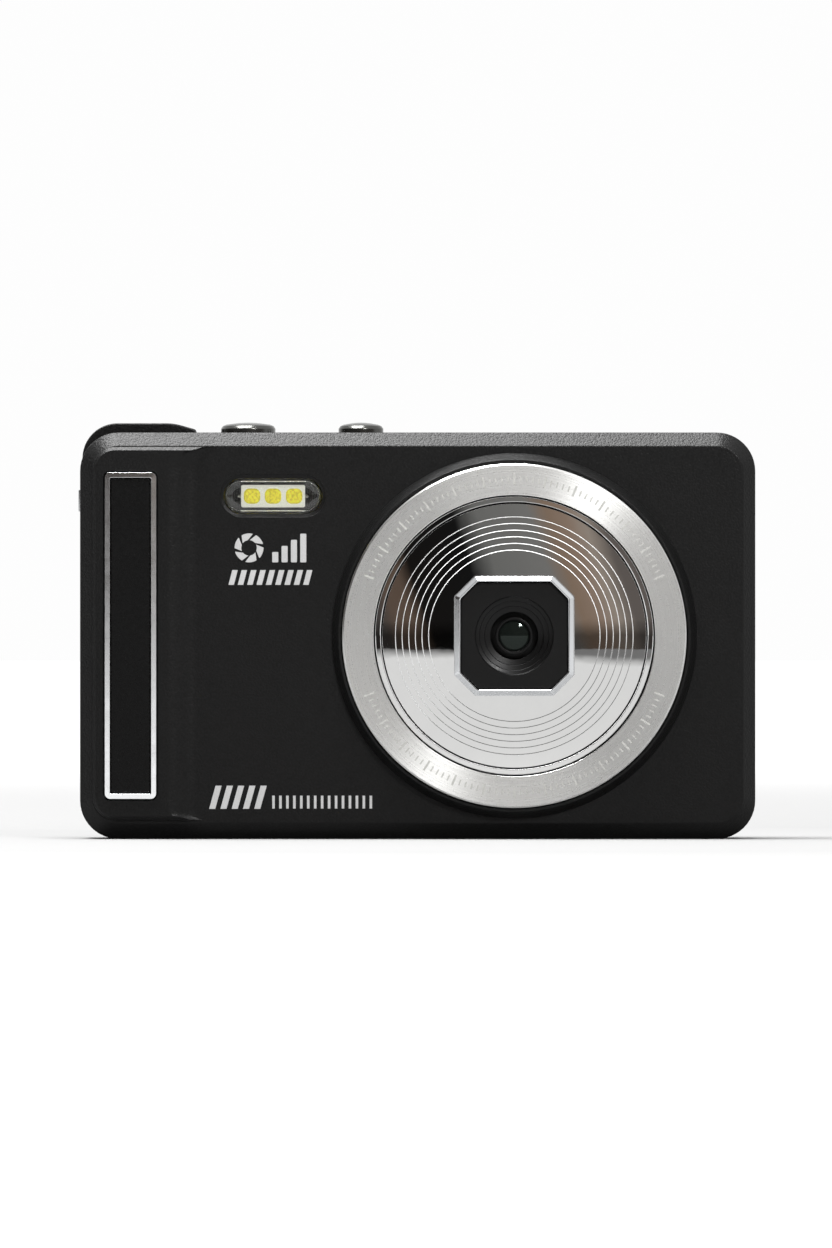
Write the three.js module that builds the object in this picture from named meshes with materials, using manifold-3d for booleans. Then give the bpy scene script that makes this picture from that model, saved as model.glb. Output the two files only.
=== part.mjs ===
// A compact digital camera: two moulded covers around a fixed lens module, an LED light, a screen, a rear
// key field, a battery and its hinged door. Millimetres, +Z up, the lens looks along -Y, the origin is under
// the middle of the camera on the surface that it stands on.
//
// Inside the file every depth is counted from the front face of the front cover, backwards along +Y.
import * as THREE from "three";
import { mergeVertices } from "three/addons/utils/BufferGeometryUtils.js";
import Module from "manifold-3d";

const wasm = await Module();
wasm.setup();

// ---------------------------------------------------------------- driving dimensions

// body
const bodyWidth = 105;
const bodyHeight = 63.2;
const bodyDepth = 20; // front face to rear face, without the lens ring and the keys
const cornerRadius = 6;
const wall = 1.8;
const rearCoverDepth = 5.8;
const bevelSide = 1.95; // the sloped band round the front face, as seen from the front
const bevelTop = 2.15;
const bevelBottom = 2.5;
const bevelDepth = 1.9;
const rearBevel = 1.6;

// clearances
const partingGap = 0.3; // groove between the two covers
const seatGap = 0.3; // between a piece and what it is glued or laid on
const sideGap = 0.15; // round a piece that is let into a recess
const keyGap = 0.25; // round a key in its hole
const swingGap = 0.3; // round a piece that turns
const layGap = 0.1; // between two flat faces that lie on each other

// grip pad and its framed inlay
const gripRise = 1.2;
const gripEdge = 0.55; // sloped edge of the pad, seen from the front
const gripTop = 11.6; // width of its flat top, counted from the bevel
const gripFlank = 4.7; // width of its long slope towards the lens
const gripCorner = 3;
const gripMarginBottom = 0.5;
const frameWidth = 8.1;
const frameHeight = 50.8;
const frameFromLeft = 3.85;
const frameFromBottom = 6.2;
const frameBand = 0.9;
const frameCorner = 0.9;
const frameFlat = 0.3; // width of the frame's front face
const frameInnerCorner = 0.25;
const frameStand = 0.45;
const inlayStand = 0.1;
const gripPocket = 0.85;

// lens front
const lensFromRight = 37.5;
const collarMargin = 0.95; // collar to the bevel above it
const collarWidth = 1.6;
const collarRise = 2;
const collarLip = 0.45;
const trimWidth = 4.9;
const trimRise = 2.6;
const trimEdge = 0.35;
const innerRingWidth = 0.85;
const innerRingRise = 2.1;
const discRise = 1.6; // outer band of the mirror disc
const discStep = 0.2;
const discStepCount = 6;
const discFirstBand = 2;
const discStepPitch = 1.03;
const bezelWidth = 18.7;
const bezelCut = 3.25; // corner cut of the octagon
const bezelBand = 0.95;
const bezelRise = 0.6; // above the middle of the disc
const bezelFlat = 0.2;
const hoodRecess = 0.7; // hood face below the bezel's top
const hoodSteps = [6, 5.4, 4.6, 3.7]; // radii of the stepped mouth
const hoodStepDepth = 0.75;
const hoodBack = 1.4;
const hoodFlangeWidth = 3; // flange past the octagon's flats
const noseRadius = 2.85;
const noseWall = 0.4;
const lensThickness = 1.1;
const lensPlay = 0.1;
const lensBulge = 0.4;

// lens module behind the face
const barrelRadius = 5;
const barrelWall = 1;
const barrelEngagement = 3;
const barrelShoulder = 2.2; // hood to holder
const holderWidth = 13;
const holderLength = 5.4;
const holderBoreGap = 0.15;
const rearLensThickness = 1.2;
const filterThickness = 0.3;
const filterOverlap = 0.5;
const sensorWidth = 7;
const sensorThickness = 0.5;
const sensorBoardWidth = 18;
const sensorBoardThickness = 0.8;
const ribbonWidth = 8;
const ribbonReach = 3;
const ribbonThickness = 0.25;

// light
const lightShare = 0.51; // of the free face between grip and collar
const lightHeight = 4.65;
const lightFromTop = 9.9;
const lightFlange = 0.9;
const lightFlangeThickness = 0.35;
const ledInset = 2.25;
const ledHeight = 3.5;
const ledThickness = 0.7;
const lightBoardHeight = 5;
const lightBoardThickness = 0.8;

// top buttons
const shutterFromLeft = 26.1;
const buttonSpacing = 17.56;
const shutterMargin = 1.83; // shutter button to the edge of the flat top
const powerSmaller = 0.75; // by how much the power button's radius is the smaller
const buttonStand = 1.6;
const shutterTravel = 0.7;
const powerTravel = 0.5;
const flangeWidth = 0.65;
const flangeThickness = 0.45;
const buttonPost = 1.2;
const buttonDome = 0.35;
const buttonRim = 0.3;
const topBoardDrop = 5; // inside of the top wall to the underside of the button board
const boardThickness = 0.8;
const switchWidth = 4.5;
const switchHeight = 1.5;
const plungerRadius = 0.8;
const plungerHeight = 0.3;
const pressGap = 0.12; // left between a post and its switch at full travel

// speaker and microphone under the top wall
const speakerFromRight = 17.5;
const speakerLength = 15;
const speakerDepth = 8;
const speakerHeight = 2.8;
const soundHole = 0.45;
const soundPitch = 2.2;
const micFromPower = 15;
const micRadius = 2;
const micHeight = 1.5;

// screen
const screenFromLeft = 38.5;
const screenMargin = 7.5;
const screenCorner = 1.5;
const screenRecess = 1.1;
const windowThickness = 0.85;
const screenLedge = 1.5;
const panelThickness = 1.8;
const traySheet = 0.4;
const trayRim = 0.5;

// rear keys
const keysFromLeft = 19;
const keyStand = 0.5;
const keyTravel = 0.4;
const keyFlange = 0.45;
const keyFlangeThickness = 0.4;
const keyPost = 0.9;
const navDrop = 2.6; // centre of the pad below the middle of the body
const okRadius = 4;
const navInner = 5.4;
const navOuter = 10.4;
const navHalfAngle = 37;
const smallKeyRadius = 2.6;
const smallKeySide = 9;
const smallKeyRise = 12.6;
const rockerWidth = 18;
const rockerHeight = 5.4;
const rockerFromTop = 9.7;
const rockerStand = 0.8;
const rockerTilt = 4; // degrees each way
const rockerEndGap = 0.45;
const domeHeight = 0.35;
const domeRadius = 1.8;
const keyBoardGap = 2.2; // inside of the rear wall to the key board
const pivotRadius = 0.5;
const pivotDepth = 1.2; // inside of the rear wall to the rocker's axis
const rockerUnder = 0.8; // inside of the rear wall to the rocker's underside
const lugThickness = 1.2;
const lugHalf = 1.3;
const lugBelow = 0.9; // of a lug, past the rocker's axis
const keyBoardMargin = 3.4;

// main board and what is on it
const boardGap = 2.2; // behind the main board, up to the screen's tray
const mainBoardThickness = 1;
const boardMargin = 2;
const shieldWidth = 22;
const shieldHeight = 1.7;
const usbWidth = 9;
const usbHeight = 3.2;
const usbLength = 7.4;
const usbShell = 0.35;
const usbTongue = 0.7;
const usbAboveLens = 8.4;
const slotWidth = 14;
const slotLength = 15;
const slotHeight = 1.9;
const slotSheet = 0.3;
const slotBelowLens = 7.6;
const cardWidth = 11;
const cardLength = 15;
const cardThickness = 0.9;
const cardInset = 0.25; // card's edge behind the side wall
const cardGap = 0.3;

// battery and door
const batteryFromLeft = 7.3;
const batteryWidth = 31.5;
const batteryThickness = 6;
const batteryFront = 3.4;
const batteryBottom = 2.7;
const batteryHeadroom = 8.7; // battery's top to the light board
const bayWall = 0.7;
const bayBottom = 3.1;
const doorThickness = 1.3;
const doorReveal = 0.15; // door's face above the camera's foot
const doorOverlap = 0.8; // door past the battery all round
const hingeRadius = 1.05;
const hingePin = 0.5;
const pinBoreGap = 0.1;
const hingeHeight = 1.2;
const knuckleLength = 4;
const earLength = 1.2;
const terminalWidth = 8;
const terminalDepth = 4;
const bladePitch = 2.5;
const bladeWidth = 0.8;

// tripod socket, the usual quarter-inch thread
const socketFromLens = 10;
const socketBore = 3.2;
const socketRadius = 4;
const socketHeight = 6;
const socketBoss = 1;

// cover screws and the tabs that they hold
const screwHead = 1.5;
const screwHeadHeight = 0.6;
const screwShank = 0.7;
const screwLength = 3.6;
const screwHoleGap = 0.2;
const screwBehindSplit = 2.4;
const tabThickness = 2.4;
const tabWidth = 5;
const tabReach = 4.4;
const tabRoot = 0.35;
const sideScrewInset = 8.5;
const upperLeftScrewDrop = 16;

// thumb shoulder and strap bar
const shoulderRise = 1.6;
const shoulderFlat = 7.5;
const shoulderSlope = 5.2;
const shoulderRadius = 5.5;
const shoulderInset = 0.1;
const shoulderFromRear = 1.4;
const strapFromTop = 10.5;
const strapHeight = 3.4;
const strapStand = 0.3;
const strapThickness = 0.8;
const strapDepth = 1;
const strapPocket = 1.2;
const strapPocketHalf = 1.5;
const strapFromRear = 3.4;
const strapEnd = 0.5; // bar's end let into the cover

const octagonShare = 2 - Math.SQRT2; // by how much a corner cut shrinks when the octagon is inset by 1

// facets of round shapes
const fine = 36;
const medium = 20;
const coarse = 8;
const keyFacets = 4; // per quarter turn

// ---------------------------------------------------------------- derived places

const halfWidth = bodyWidth / 2;
const tabDepth = wall + tabRoot + tabThickness; // inner face of a screw tab, below the surface
const splitDepth = bodyDepth - rearCoverDepth;
const frontCoverEnd = splitDepth - partingGap / 2;
const rearCoverStart = splitDepth + partingGap / 2;
const innerSide = halfWidth - wall;
const innerTop = bodyHeight - wall;
const rearWallInside = bodyDepth - wall;
const flatMiddle = (bevelDepth + frontCoverEnd) / 2; // middle of the front cover's flat top and bottom
const lensX = halfWidth - lensFromRight;
const lensZ = bodyHeight / 2;
const collarOuter = bodyHeight / 2 - bevelTop - collarMargin;
const collarInner = collarOuter - collarWidth;
const trimOuter = collarInner - sideGap;
const trimInner = trimOuter - trimWidth;
const innerRingOuter = trimInner - sideGap - 0.1;
const innerRingInner = innerRingOuter - innerRingWidth;
const discOuter = innerRingInner - sideGap - 0.1;
const discMiddle = discRise + discStepCount * discStep;
const bezelTop = discMiddle + bezelRise;
const hoodFace = bezelTop - hoodRecess;
const hoodFlange = bezelWidth / 2 - bezelBand - sideGap + hoodFlangeWidth;
const overallFront = bezelTop;
const overallRear = bodyDepth + rockerStand;

const trayFront = rearWallInside - sideGap - panelThickness - traySheet - 2 * sideGap;
const mainBoardBack = trayFront - boardGap;
const mainBoardFront = mainBoardBack - mainBoardThickness;
const keyBoardFront = rearWallInside - keyBoardGap - boardThickness;
const keyBoardBack = rearWallInside - keyBoardGap;
const domeTop = keyBoardBack + domeHeight;

const batteryLeft = -halfWidth + batteryFromLeft;
const batteryRight = batteryLeft + batteryWidth;
const batteryBack = batteryFront + batteryThickness;
const lightZ = bodyHeight - lightFromTop;
const batteryTop = lightZ - lightBoardHeight / 2 - batteryHeadroom;
const bay = {
  left: batteryLeft - seatGap,
  right: batteryRight + seatGap,
  front: batteryFront - seatGap,
  back: batteryBack + seatGap,
  top: batteryTop + 1.2,
};
const door = {
  left: batteryLeft - doorOverlap,
  front: batteryFront - doorOverlap,
  back: batteryBack + doorOverlap,
};
const hingeX = bay.right + bayWall + hingeRadius + seatGap;

// ---------------------------------------------------------------- shape helpers

// A closed three.js geometry as a solid that can be cut and joined.
function solid(geometry) {
  const bare = geometry.index ? geometry.toNonIndexed() : geometry.clone();
  bare.deleteAttribute("normal");
  bare.deleteAttribute("uv");
  const merged = mergeVertices(bare, 1e-4);
  const triVerts = new Uint32Array(merged.index.array);
  const vertProperties = merged.attributes.position.array;
  const made = new wasm.Manifold(new wasm.Mesh({ numProp: 3, vertProperties, triVerts }));
  if (made.volume() > 0) return made;
  for (let i = 0; i < triVerts.length; i += 3) {
    [triVerts[i + 1], triVerts[i + 2]] = [triVerts[i + 2], triVerts[i + 1]];
  }
  return new wasm.Manifold(new wasm.Mesh({ numProp: 3, vertProperties, triVerts }));
}

function box(x0, x1, y0, y1, z0, z1) {
  const shape = new THREE.BoxGeometry(x1 - x0, y1 - y0, z1 - z0);
  return solid(shape.translate((x0 + x1) / 2, (y0 + y1) / 2, (z0 + z1) / 2));
}

// Outlines are lists of THREE.Vector2 seen from the front, x to the right and z up.
function roundedOutline(x0, x1, z0, z1, radius, steps = 4) {
  const shape = new THREE.Shape();
  shape.moveTo(x0 + radius, z0);
  shape.lineTo(x1 - radius, z0);
  shape.absarc(x1 - radius, z0 + radius, radius, -Math.PI / 2, 0);
  shape.lineTo(x1, z1 - radius);
  shape.absarc(x1 - radius, z1 - radius, radius, 0, Math.PI / 2);
  shape.lineTo(x0 + radius, z1);
  shape.absarc(x0 + radius, z1 - radius, radius, Math.PI / 2, Math.PI);
  shape.lineTo(x0, z0 + radius);
  shape.absarc(x0 + radius, z0 + radius, radius, Math.PI, 1.5 * Math.PI);
  return cleaned(shape.getPoints(steps));
}

function cleaned(points) {
  return points.filter((p, i) => p.distanceTo(points[(i + 1) % points.length]) > 1e-4);
}

function stadium(cx, cz, width, height, steps = 5) {
  return roundedOutline(cx - width / 2, cx + width / 2, cz - height / 2, cz + height / 2,
    Math.min(width, height) / 2, steps);
}

// The bezel's octagon, drawn in by a distance on every side.
function octagon(inset) {
  const half = bezelWidth / 2 - inset;
  const far = half - bezelCut + inset * octagonShare;
  const points = [[-far, -half], [far, -half], [half, -far], [half, far]];
  points.push([far, half], [-far, half], [-half, far], [-half, -far]);
  return points.map(([x, z]) => new THREE.Vector2(lensX + x, lensZ + z));
}

// A ring sector between two radii, as a list of points.
function sector(cx, cz, inner, outer, middle, half, steps = 5) {
  const from = THREE.MathUtils.degToRad(middle - half);
  const to = THREE.MathUtils.degToRad(middle + half);
  const shape = new THREE.Shape();
  shape.absarc(cx, cz, outer, from, to, false);
  shape.absarc(cx, cz, inner, to, from, true);
  return cleaned(shape.getPoints(steps));
}

// Joins outlines of equal length at rising depths into one closed body.
function loft(rings) {
  const count = rings[0].outline.length;
  const positions = rings.flatMap(({ outline, y }) => outline.flatMap((p) => [p.x, y, p.y]));
  const faces = [];
  for (let k = 0; k + 1 < rings.length; k += 1) {
    for (let i = 0; i < count; i += 1) {
      const a = k * count + i;
      const b = k * count + ((i + 1) % count);
      faces.push(a, b, b + count, a, b + count, a + count);
    }
  }
  const last = (rings.length - 1) * count;
  for (const [a, b, c] of THREE.ShapeUtils.triangulateShape(rings[0].outline, [])) faces.push(a, c, b);
  for (const [a, b, c] of THREE.ShapeUtils.triangulateShape(rings[rings.length - 1].outline, [])) {
    faces.push(last + a, last + b, last + c);
  }
  const shape = new THREE.BufferGeometry();
  shape.setAttribute("position", new THREE.Float32BufferAttribute(positions, 3));
  shape.setIndex(faces);
  return solid(shape);
}

// A straight slab of an outline between two depths.
const slab = (outline, y0, y1) => loft([{ outline, y: y0 }, { outline, y: y1 }]);

// The same through a side wall: the outline's x is the depth, and it runs from one x to another.
const sideSlab = (outline, x0, x1) => slab(outline, -x1, -x0).rotate([0, 0, 90]);

// A rod along one axis ("x", "y" or "z") between two coordinates on it.
function rod(axis, a, b, from, to, radius, sides = medium, endRadius = radius) {
  const shape = new THREE.CylinderGeometry(endRadius, radius, to - from, sides);
  const middle = (from + to) / 2;
  if (axis === "y") return solid(shape.translate(a, middle, b));
  if (axis === "z") return solid(shape.rotateX(Math.PI / 2).translate(a, b, middle));
  return solid(shape.rotateZ(-Math.PI / 2).translate(middle, a, b));
}

// A ring or disc round the lens axis. The profile lists [radius, depth] and closes on itself or on the axis.
function turned(profile, sides = fine) {
  const points = profile.map(([r, y]) => new THREE.Vector2(r, y));
  if (profile[0][0] > 0) points.push(points[0].clone());
  return solid(new THREE.LatheGeometry(points, sides).translate(lensX, 0, lensZ));
}

const joined = (parts) => parts.reduce((all, part) => all.add(part));
const cut = (body, tools) => tools.reduce((left, tool) => left.subtract(tool), body);

// ---------------------------------------------------------------- materials

const paint = (color, roughness, metalness = 0) =>
  new THREE.MeshStandardMaterial({ color, roughness, metalness });

const shellBlack = paint(0x202020, 0.5);
const inlayBlack = paint(0x151515, 0.3);
const hoodBlack = paint(0x1a1a1a, 0.4);
const satinSilver = paint(0xc4c4c0, 0.3, 1);
const chrome = paint(0xd8d8d8, 0.08, 1);
const clearPlastic = paint(0xe6ecec, 0.05);
const lensGlass = paint(0x2a3230, 0.02);
const phosphor = paint(0xe2dc5a, 0.6);
const boardGreen = paint(0x1c4a30, 0.5);
const chipBlack = paint(0x181818, 0.4);
const sheetSteel = paint(0xb4b6b8, 0.3, 1);
const brass = paint(0xb8954a, 0.3, 1);
const screenGlass = paint(0x08090b, 0.05);
const cellGrey = paint(0x3a3f46, 0.5);
const flexAmber = paint(0x9c5a1c, 0.4);
const cardBlack = paint(0x101010, 0.4);

// ---------------------------------------------------------------- the camera

const camera = new THREE.Group();
camera.position.y = (overallFront - overallRear) / 2;

function add(name, body, material) {
  const mesh = body.getMesh();
  const vertices = new Float32Array(mesh.numVert * 3);
  for (let i = 0; i < mesh.numVert; i += 1) {
    vertices.set(mesh.vertProperties.subarray(i * mesh.numProp, i * mesh.numProp + 3), i * 3);
  }
  const shape = new THREE.BufferGeometry();
  shape.setAttribute("position", new THREE.BufferAttribute(vertices, 3));
  shape.setIndex(new THREE.BufferAttribute(mesh.triVerts, 1));
  shape.computeVertexNormals();
  const part = new THREE.Mesh(shape, material);
  part.name = name;
  camera.add(part);
}

// ---- cover screws: where each one stands and which way it is driven

const socketX = lensX + socketFromLens;
const bossRadius = socketRadius + sideGap + socketBoss;
const screwDepth = splitDepth - screwBehindSplit;
const hingeEnd = hingeX + hingeRadius + swingGap;
const bottomScrews = [
  (hingeEnd + socketX - bossRadius) / 2,
  (socketX + bossRadius + innerSide) / 2,
];
const rightScrews = [sideScrewInset, bodyHeight - sideScrewInset];
const leftScrews = [sideScrewInset, bodyHeight - upperLeftScrewDrop];
const screws = [
  ...bottomScrews.map((x) => ({ side: "bottom", at: x })),
  ...rightScrews.map((z) => ({ side: "right", at: z })),
  ...leftScrews.map((z) => ({ side: "left", at: z })),
];

// A rod that points inwards at a screw's place, from one distance below the surface to another.
function screwRod({ side, at }, from, to, radius, sides = coarse) {
  if (side === "bottom") return rod("z", at, screwDepth, from, to, radius, sides);
  if (side === "right") return rod("x", screwDepth, at, halfWidth - to, halfWidth - from, radius, sides);
  return rod("x", screwDepth, at, -halfWidth + from, -halfWidth + to, radius, sides);
}

// The tab of the rear cover that a screw holds, or with grow the room round it.
function screwTab({ side, at }) {
  const near = wall + tabRoot;
  const far = tabDepth;
  const front = splitDepth - tabReach;
  const back = rearCoverStart + 1.2;
  const half = tabWidth / 2;
  const reach = box(-half, half, front, back, near, far);
  const root = box(-half, half, rearCoverStart, back, wall / 2, far);
  const tab = reach.add(root);
  if (side === "bottom") return tab.translate([at, 0, 0]);
  const turn = side === "right" ? -90 : 90;
  const edge = side === "right" ? halfWidth : -halfWidth;
  return tab.rotate([0, turn, 0]).translate([edge, 0, at]);
}

// ---- front cover

function bodyOutline(insetSide, insetTop, insetBottom) {
  const radius = cornerRadius - (insetSide + insetTop) / 2;
  return roundedOutline(-halfWidth + insetSide, halfWidth - insetSide, insetBottom,
    bodyHeight - insetTop, Math.max(radius, 0.5));
}

// Places of the light window between the grip and the collar.
const gripEnd = -halfWidth + bevelSide + gripTop + gripFlank;
const lightDrop = lightZ - lightHeight / 2 - lensZ;
const collarAtLight = lensX - Math.sqrt(Math.max(collarOuter ** 2 - lightDrop ** 2, 0));
const lightWidth = (collarAtLight - gripEnd) * lightShare;
const lightX = gripEnd + (collarAtLight - gripEnd) * 0.415;

const shutterX = -halfWidth + shutterFromLeft;
const powerX = shutterX + buttonSpacing;
const shutterRadius = (frontCoverEnd - bevelDepth) / 2 - shutterMargin;
const powerRadius = shutterRadius - powerSmaller;
const speakerX = halfWidth - speakerFromRight;
const micX = powerX + micFromPower;
const usbZ = lensZ + usbAboveLens;
const usbDepth = mainBoardFront - layGap - usbHeight / 2;
const cardZ = lensZ - slotBelowLens;
const cardDepth = mainBoardFront - layGap - slotHeight / 2;
const cardSpace = cardThickness + 2 * cardGap;

const gripLeft = -halfWidth + bevelSide + 0.02;
const gripUpper = bodyHeight - bevelTop - 0.1;
const gripLower = bevelBottom + gripMarginBottom;

function gripPad() {
  const foot = roundedOutline(gripLeft, gripEnd, gripLower, gripUpper, gripCorner + gripEdge);
  const top = roundedOutline(gripLeft + gripEdge, gripEnd - gripFlank, gripLower + gripEdge,
    gripUpper - gripEdge, gripCorner);
  return loft([{ outline: top, y: -gripRise }, { outline: foot, y: 0 }, { outline: foot, y: wall / 2 }]);
}

const frameLeft = -halfWidth + frameFromLeft;
const frameOutline = (grow, radius) => roundedOutline(frameLeft - grow, frameLeft + frameWidth + grow,
  frameFromBottom - grow, frameFromBottom + frameHeight + grow, radius, 3);

function soundHoles() {
  const holes = [rod("z", micX, flatMiddle, innerTop - 1, bodyHeight + 1, soundHole, coarse)];
  for (const column of [-2, -1, 0, 1, 2]) {
    for (const row of [-0.5, 0.5]) {
      holes.push(rod("z", speakerX + column * soundPitch, flatMiddle + row * soundPitch,
        innerTop - 1, bodyHeight + 1, soundHole, coarse));
    }
  }
  return holes;
}

function frontCover() {
  const face = bodyOutline(bevelSide, bevelTop, bevelBottom);
  const full = bodyOutline(0, 0, 0);
  const shell = loft([
    { outline: face, y: 0 },
    { outline: full, y: bevelDepth },
    { outline: full, y: frontCoverEnd },
  ]);
  const room = slab(bodyOutline(wall, wall, wall), wall, frontCoverEnd + 1);
  const hollow = shell.subtract(room);
  const collar = turned([[collarInner, wall / 2], [collarInner, -collarRise],
    [collarInner + collarLip, -collarRise], [collarOuter, 0], [collarOuter, wall / 2]]);
  const boss = rod("z", socketX, flatMiddle, wall / 2, socketHeight, bossRadius);
  const ear = (y0) => joined([
    rod("y", hingeX, hingeHeight, y0, y0 + earLength, hingeRadius, coarse),
    box(hingeX, hingeEnd + 0.5, y0, y0 + earLength, doorReveal, wall),
  ]);
  const knuckleStart = (door.front + door.back - knuckleLength) / 2;
  const ears = [ear(knuckleStart - seatGap - earLength), ear(knuckleStart + knuckleLength + seatGap)];
  const openings = [
    rod("y", lensX, lensZ, -1, wall + 1, hoodFlange + keyGap),
    slab(stadium(lightX, lightZ, lightWidth + 2 * sideGap, lightHeight + 2 * sideGap), -1, wall + 1),
    slab(frameOutline(sideGap, frameCorner + sideGap), -gripRise - 1, -gripRise + gripPocket),
    rod("z", shutterX, flatMiddle, innerTop - 1, bodyHeight + 1, shutterRadius + keyGap),
    rod("z", powerX, flatMiddle, innerTop - 1, bodyHeight + 1, powerRadius + keyGap),
    ...soundHoles(),
    box(door.left - swingGap, hingeEnd, door.front - swingGap, door.back + swingGap, -1, wall + 1),
    rod("z", socketX, flatMiddle, -1, socketHeight + 1, socketRadius + sideGap),
    sideSlab(stadium(usbDepth, usbZ, usbHeight + 2 * sideGap, usbWidth + 2 * sideGap),
      innerSide - 1, halfWidth + 1),
    box(innerSide - 1, halfWidth + 1, cardDepth - cardSpace / 2, cardDepth + cardSpace / 2,
      cardZ - cardWidth / 2 - cardGap, cardZ + cardWidth / 2 + cardGap),
  ];
  const screwHoles = screws.flatMap((screw) => [
    screwRod(screw, -1, wall + 1, screwShank + screwHoleGap),
    screwRod(screw, -1, screwHeadHeight + 0.25, screwHead + screwHoleGap),
  ]);
  const pinBore = rod("y", hingeX, hingeHeight, door.front, door.back, hingePin + pinBoreGap, coarse);
  const open = cut(joined([hollow, gripPad(), collar, boss]), [...openings, ...screwHoles]);
  return joined([open, ...ears]).subtract(pinBore);
}

add("front_cover", frontCover(), shellBlack);

// ---- rings round the lens

add("lens_trim_ring", turned([[trimInner, -layGap], [trimInner, -trimRise], [trimOuter - trimEdge, -trimRise],
  [trimOuter, -trimRise + trimEdge], [trimOuter, -layGap]]), satinSilver);

add("lens_inner_ring", turned([[innerRingInner, -layGap], [innerRingInner, -innerRingRise],
  [innerRingOuter, -innerRingRise], [innerRingOuter, -layGap]]), satinSilver);

function mirrorDisc() {
  const profile = [[0, -layGap], [discOuter, -layGap], [discOuter, -discRise]];
  for (let i = 0; i < discStepCount; i += 1) {
    const radius = discOuter - discFirstBand - i * discStepPitch;
    profile.push([radius, -discRise - i * discStep], [radius, -discRise - (i + 1) * discStep]);
  }
  profile.push([0, -discMiddle]);
  const mouth = slab(octagon(bezelBand), -discMiddle - 1, 1);
  return turned(profile).subtract(mouth);
}
add("lens_disc", mirrorDisc(), chrome);

function octagonBezel() {
  const outside = loft([
    { outline: octagon(bezelBand - bezelFlat), y: -bezelTop },
    { outline: octagon(0), y: -discMiddle - layGap },
  ]);
  return outside.subtract(slab(octagon(bezelBand), -bezelTop - 1, 1));
}
add("octagon_bezel", octagonBezel(), chrome);

// ---- lens module

function lensHood() {
  const plate = slab(octagon(bezelBand + sideGap), -hoodFace, sideGap);
  const flange = rod("y", lensX, lensZ, layGap, hoodBack, hoodFlange);
  const mouth = hoodSteps.map((radius, i) =>
    rod("y", lensX, lensZ, -hoodFace - 1, -hoodFace + (i + 1) * hoodStepDepth, radius, fine));
  const bore = rod("y", lensX, lensZ, -hoodFace, hoodBack + 1, hoodSteps.at(-1), fine);
  return cut(plate.add(flange), [...mouth, bore]);
}
add("lens_hood", lensHood(), hoodBlack);

const noseFront = -hoodFace + hoodSteps.length * hoodStepDepth - hoodStepDepth;
const barrelFront = hoodBack + seatGap;
const holderFront = barrelFront + barrelShoulder;
const holderBack = holderFront + holderLength;
const barrelBack = holderFront + barrelEngagement;
const noseBore = noseRadius - noseWall;
const barrelBore = barrelRadius - barrelWall;
const lensSeat = noseFront + lensThickness;
add("lens_barrel", turned([
  [noseBore, noseFront], [noseRadius, noseFront], [noseRadius, barrelFront], [barrelRadius, barrelFront],
  [barrelRadius, barrelBack], [barrelBore, barrelBack], [barrelBore, barrelFront + barrelWall],
  [noseBore - noseWall, barrelFront + barrelWall], [noseBore - noseWall, lensSeat], [noseBore, lensSeat],
], medium), hoodBlack);

function lensElement(radius, front, back, bulge) {
  const rim = front + bulge;
  return turned([[0, front], [radius * 0.4, front + bulge * 0.16], [radius * 0.75, front + bulge * 0.56],
    [radius, rim], [radius, back], [0, back]], medium);
}
add("front_lens", lensElement(noseBore - lensPlay, noseFront + lensPlay, lensSeat - lensPlay, lensBulge),
  lensGlass);
const rearLensBack = barrelBack - seatGap;
const rearLensFront = rearLensBack - rearLensThickness;
add("rear_lens", lensElement(barrelBore - lensPlay, rearLensFront, rearLensBack, lensBulge), lensGlass);

const holderHalf = holderWidth / 2;
const seatHalf = sensorWidth / 2 + sideGap + filterOverlap;
const holderSeat = barrelBack + seatGap;
function lensHolder() {
  const block = box(lensX - holderHalf, lensX + holderHalf, holderFront, holderBack,
    lensZ - holderHalf, lensZ + holderHalf);
  const bore = rod("y", lensX, lensZ, holderFront - 1, holderSeat, barrelRadius + holderBoreGap, fine);
  const room = box(lensX - seatHalf, lensX + seatHalf, holderFront, holderBack + 1,
    lensZ - seatHalf, lensZ + seatHalf);
  return cut(block, [bore, room]);
}
add("lens_holder", lensHolder(), hoodBlack);

const filterHalf = seatHalf - sideGap;
const sensorBoardFront = holderBack + layGap;
const sensorFront = sensorBoardFront - layGap - sensorThickness;
add("infrared_filter", box(lensX - filterHalf, lensX + filterHalf, sensorFront - sideGap - filterThickness,
  sensorFront - sideGap, lensZ - filterHalf, lensZ + filterHalf), lensGlass);
const sensorHalf = sensorWidth / 2;
add("image_sensor", box(lensX - sensorHalf, lensX + sensorHalf, sensorFront, sensorFront + sensorThickness,
  lensZ - sensorHalf, lensZ + sensorHalf), chipBlack);
const sensorBoardHalf = sensorBoardWidth / 2;
add("sensor_board", box(lensX - sensorBoardHalf, lensX + sensorBoardHalf, sensorBoardFront,
  sensorBoardFront + sensorBoardThickness, lensZ - sensorBoardHalf, lensZ + sensorBoardHalf), boardGreen);

// The ribbon leaves the side of the sensor board and turns back to the main board.
const ribbonStart = lensX + sensorBoardHalf + sideGap;
const ribbonEnd = ribbonStart + ribbonReach;
const ribbonFront = sensorBoardFront + sideGap;
const ribbonLow = lensZ - ribbonWidth / 2;
add("sensor_ribbon", joined([
  box(ribbonStart, ribbonEnd, ribbonFront, ribbonFront + ribbonThickness, ribbonLow, ribbonLow + ribbonWidth),
  box(ribbonEnd - ribbonThickness, ribbonEnd, ribbonFront, mainBoardFront - layGap, ribbonLow,
    ribbonLow + ribbonWidth),
]), flexAmber);

// ---- grip inlay and its frame

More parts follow.
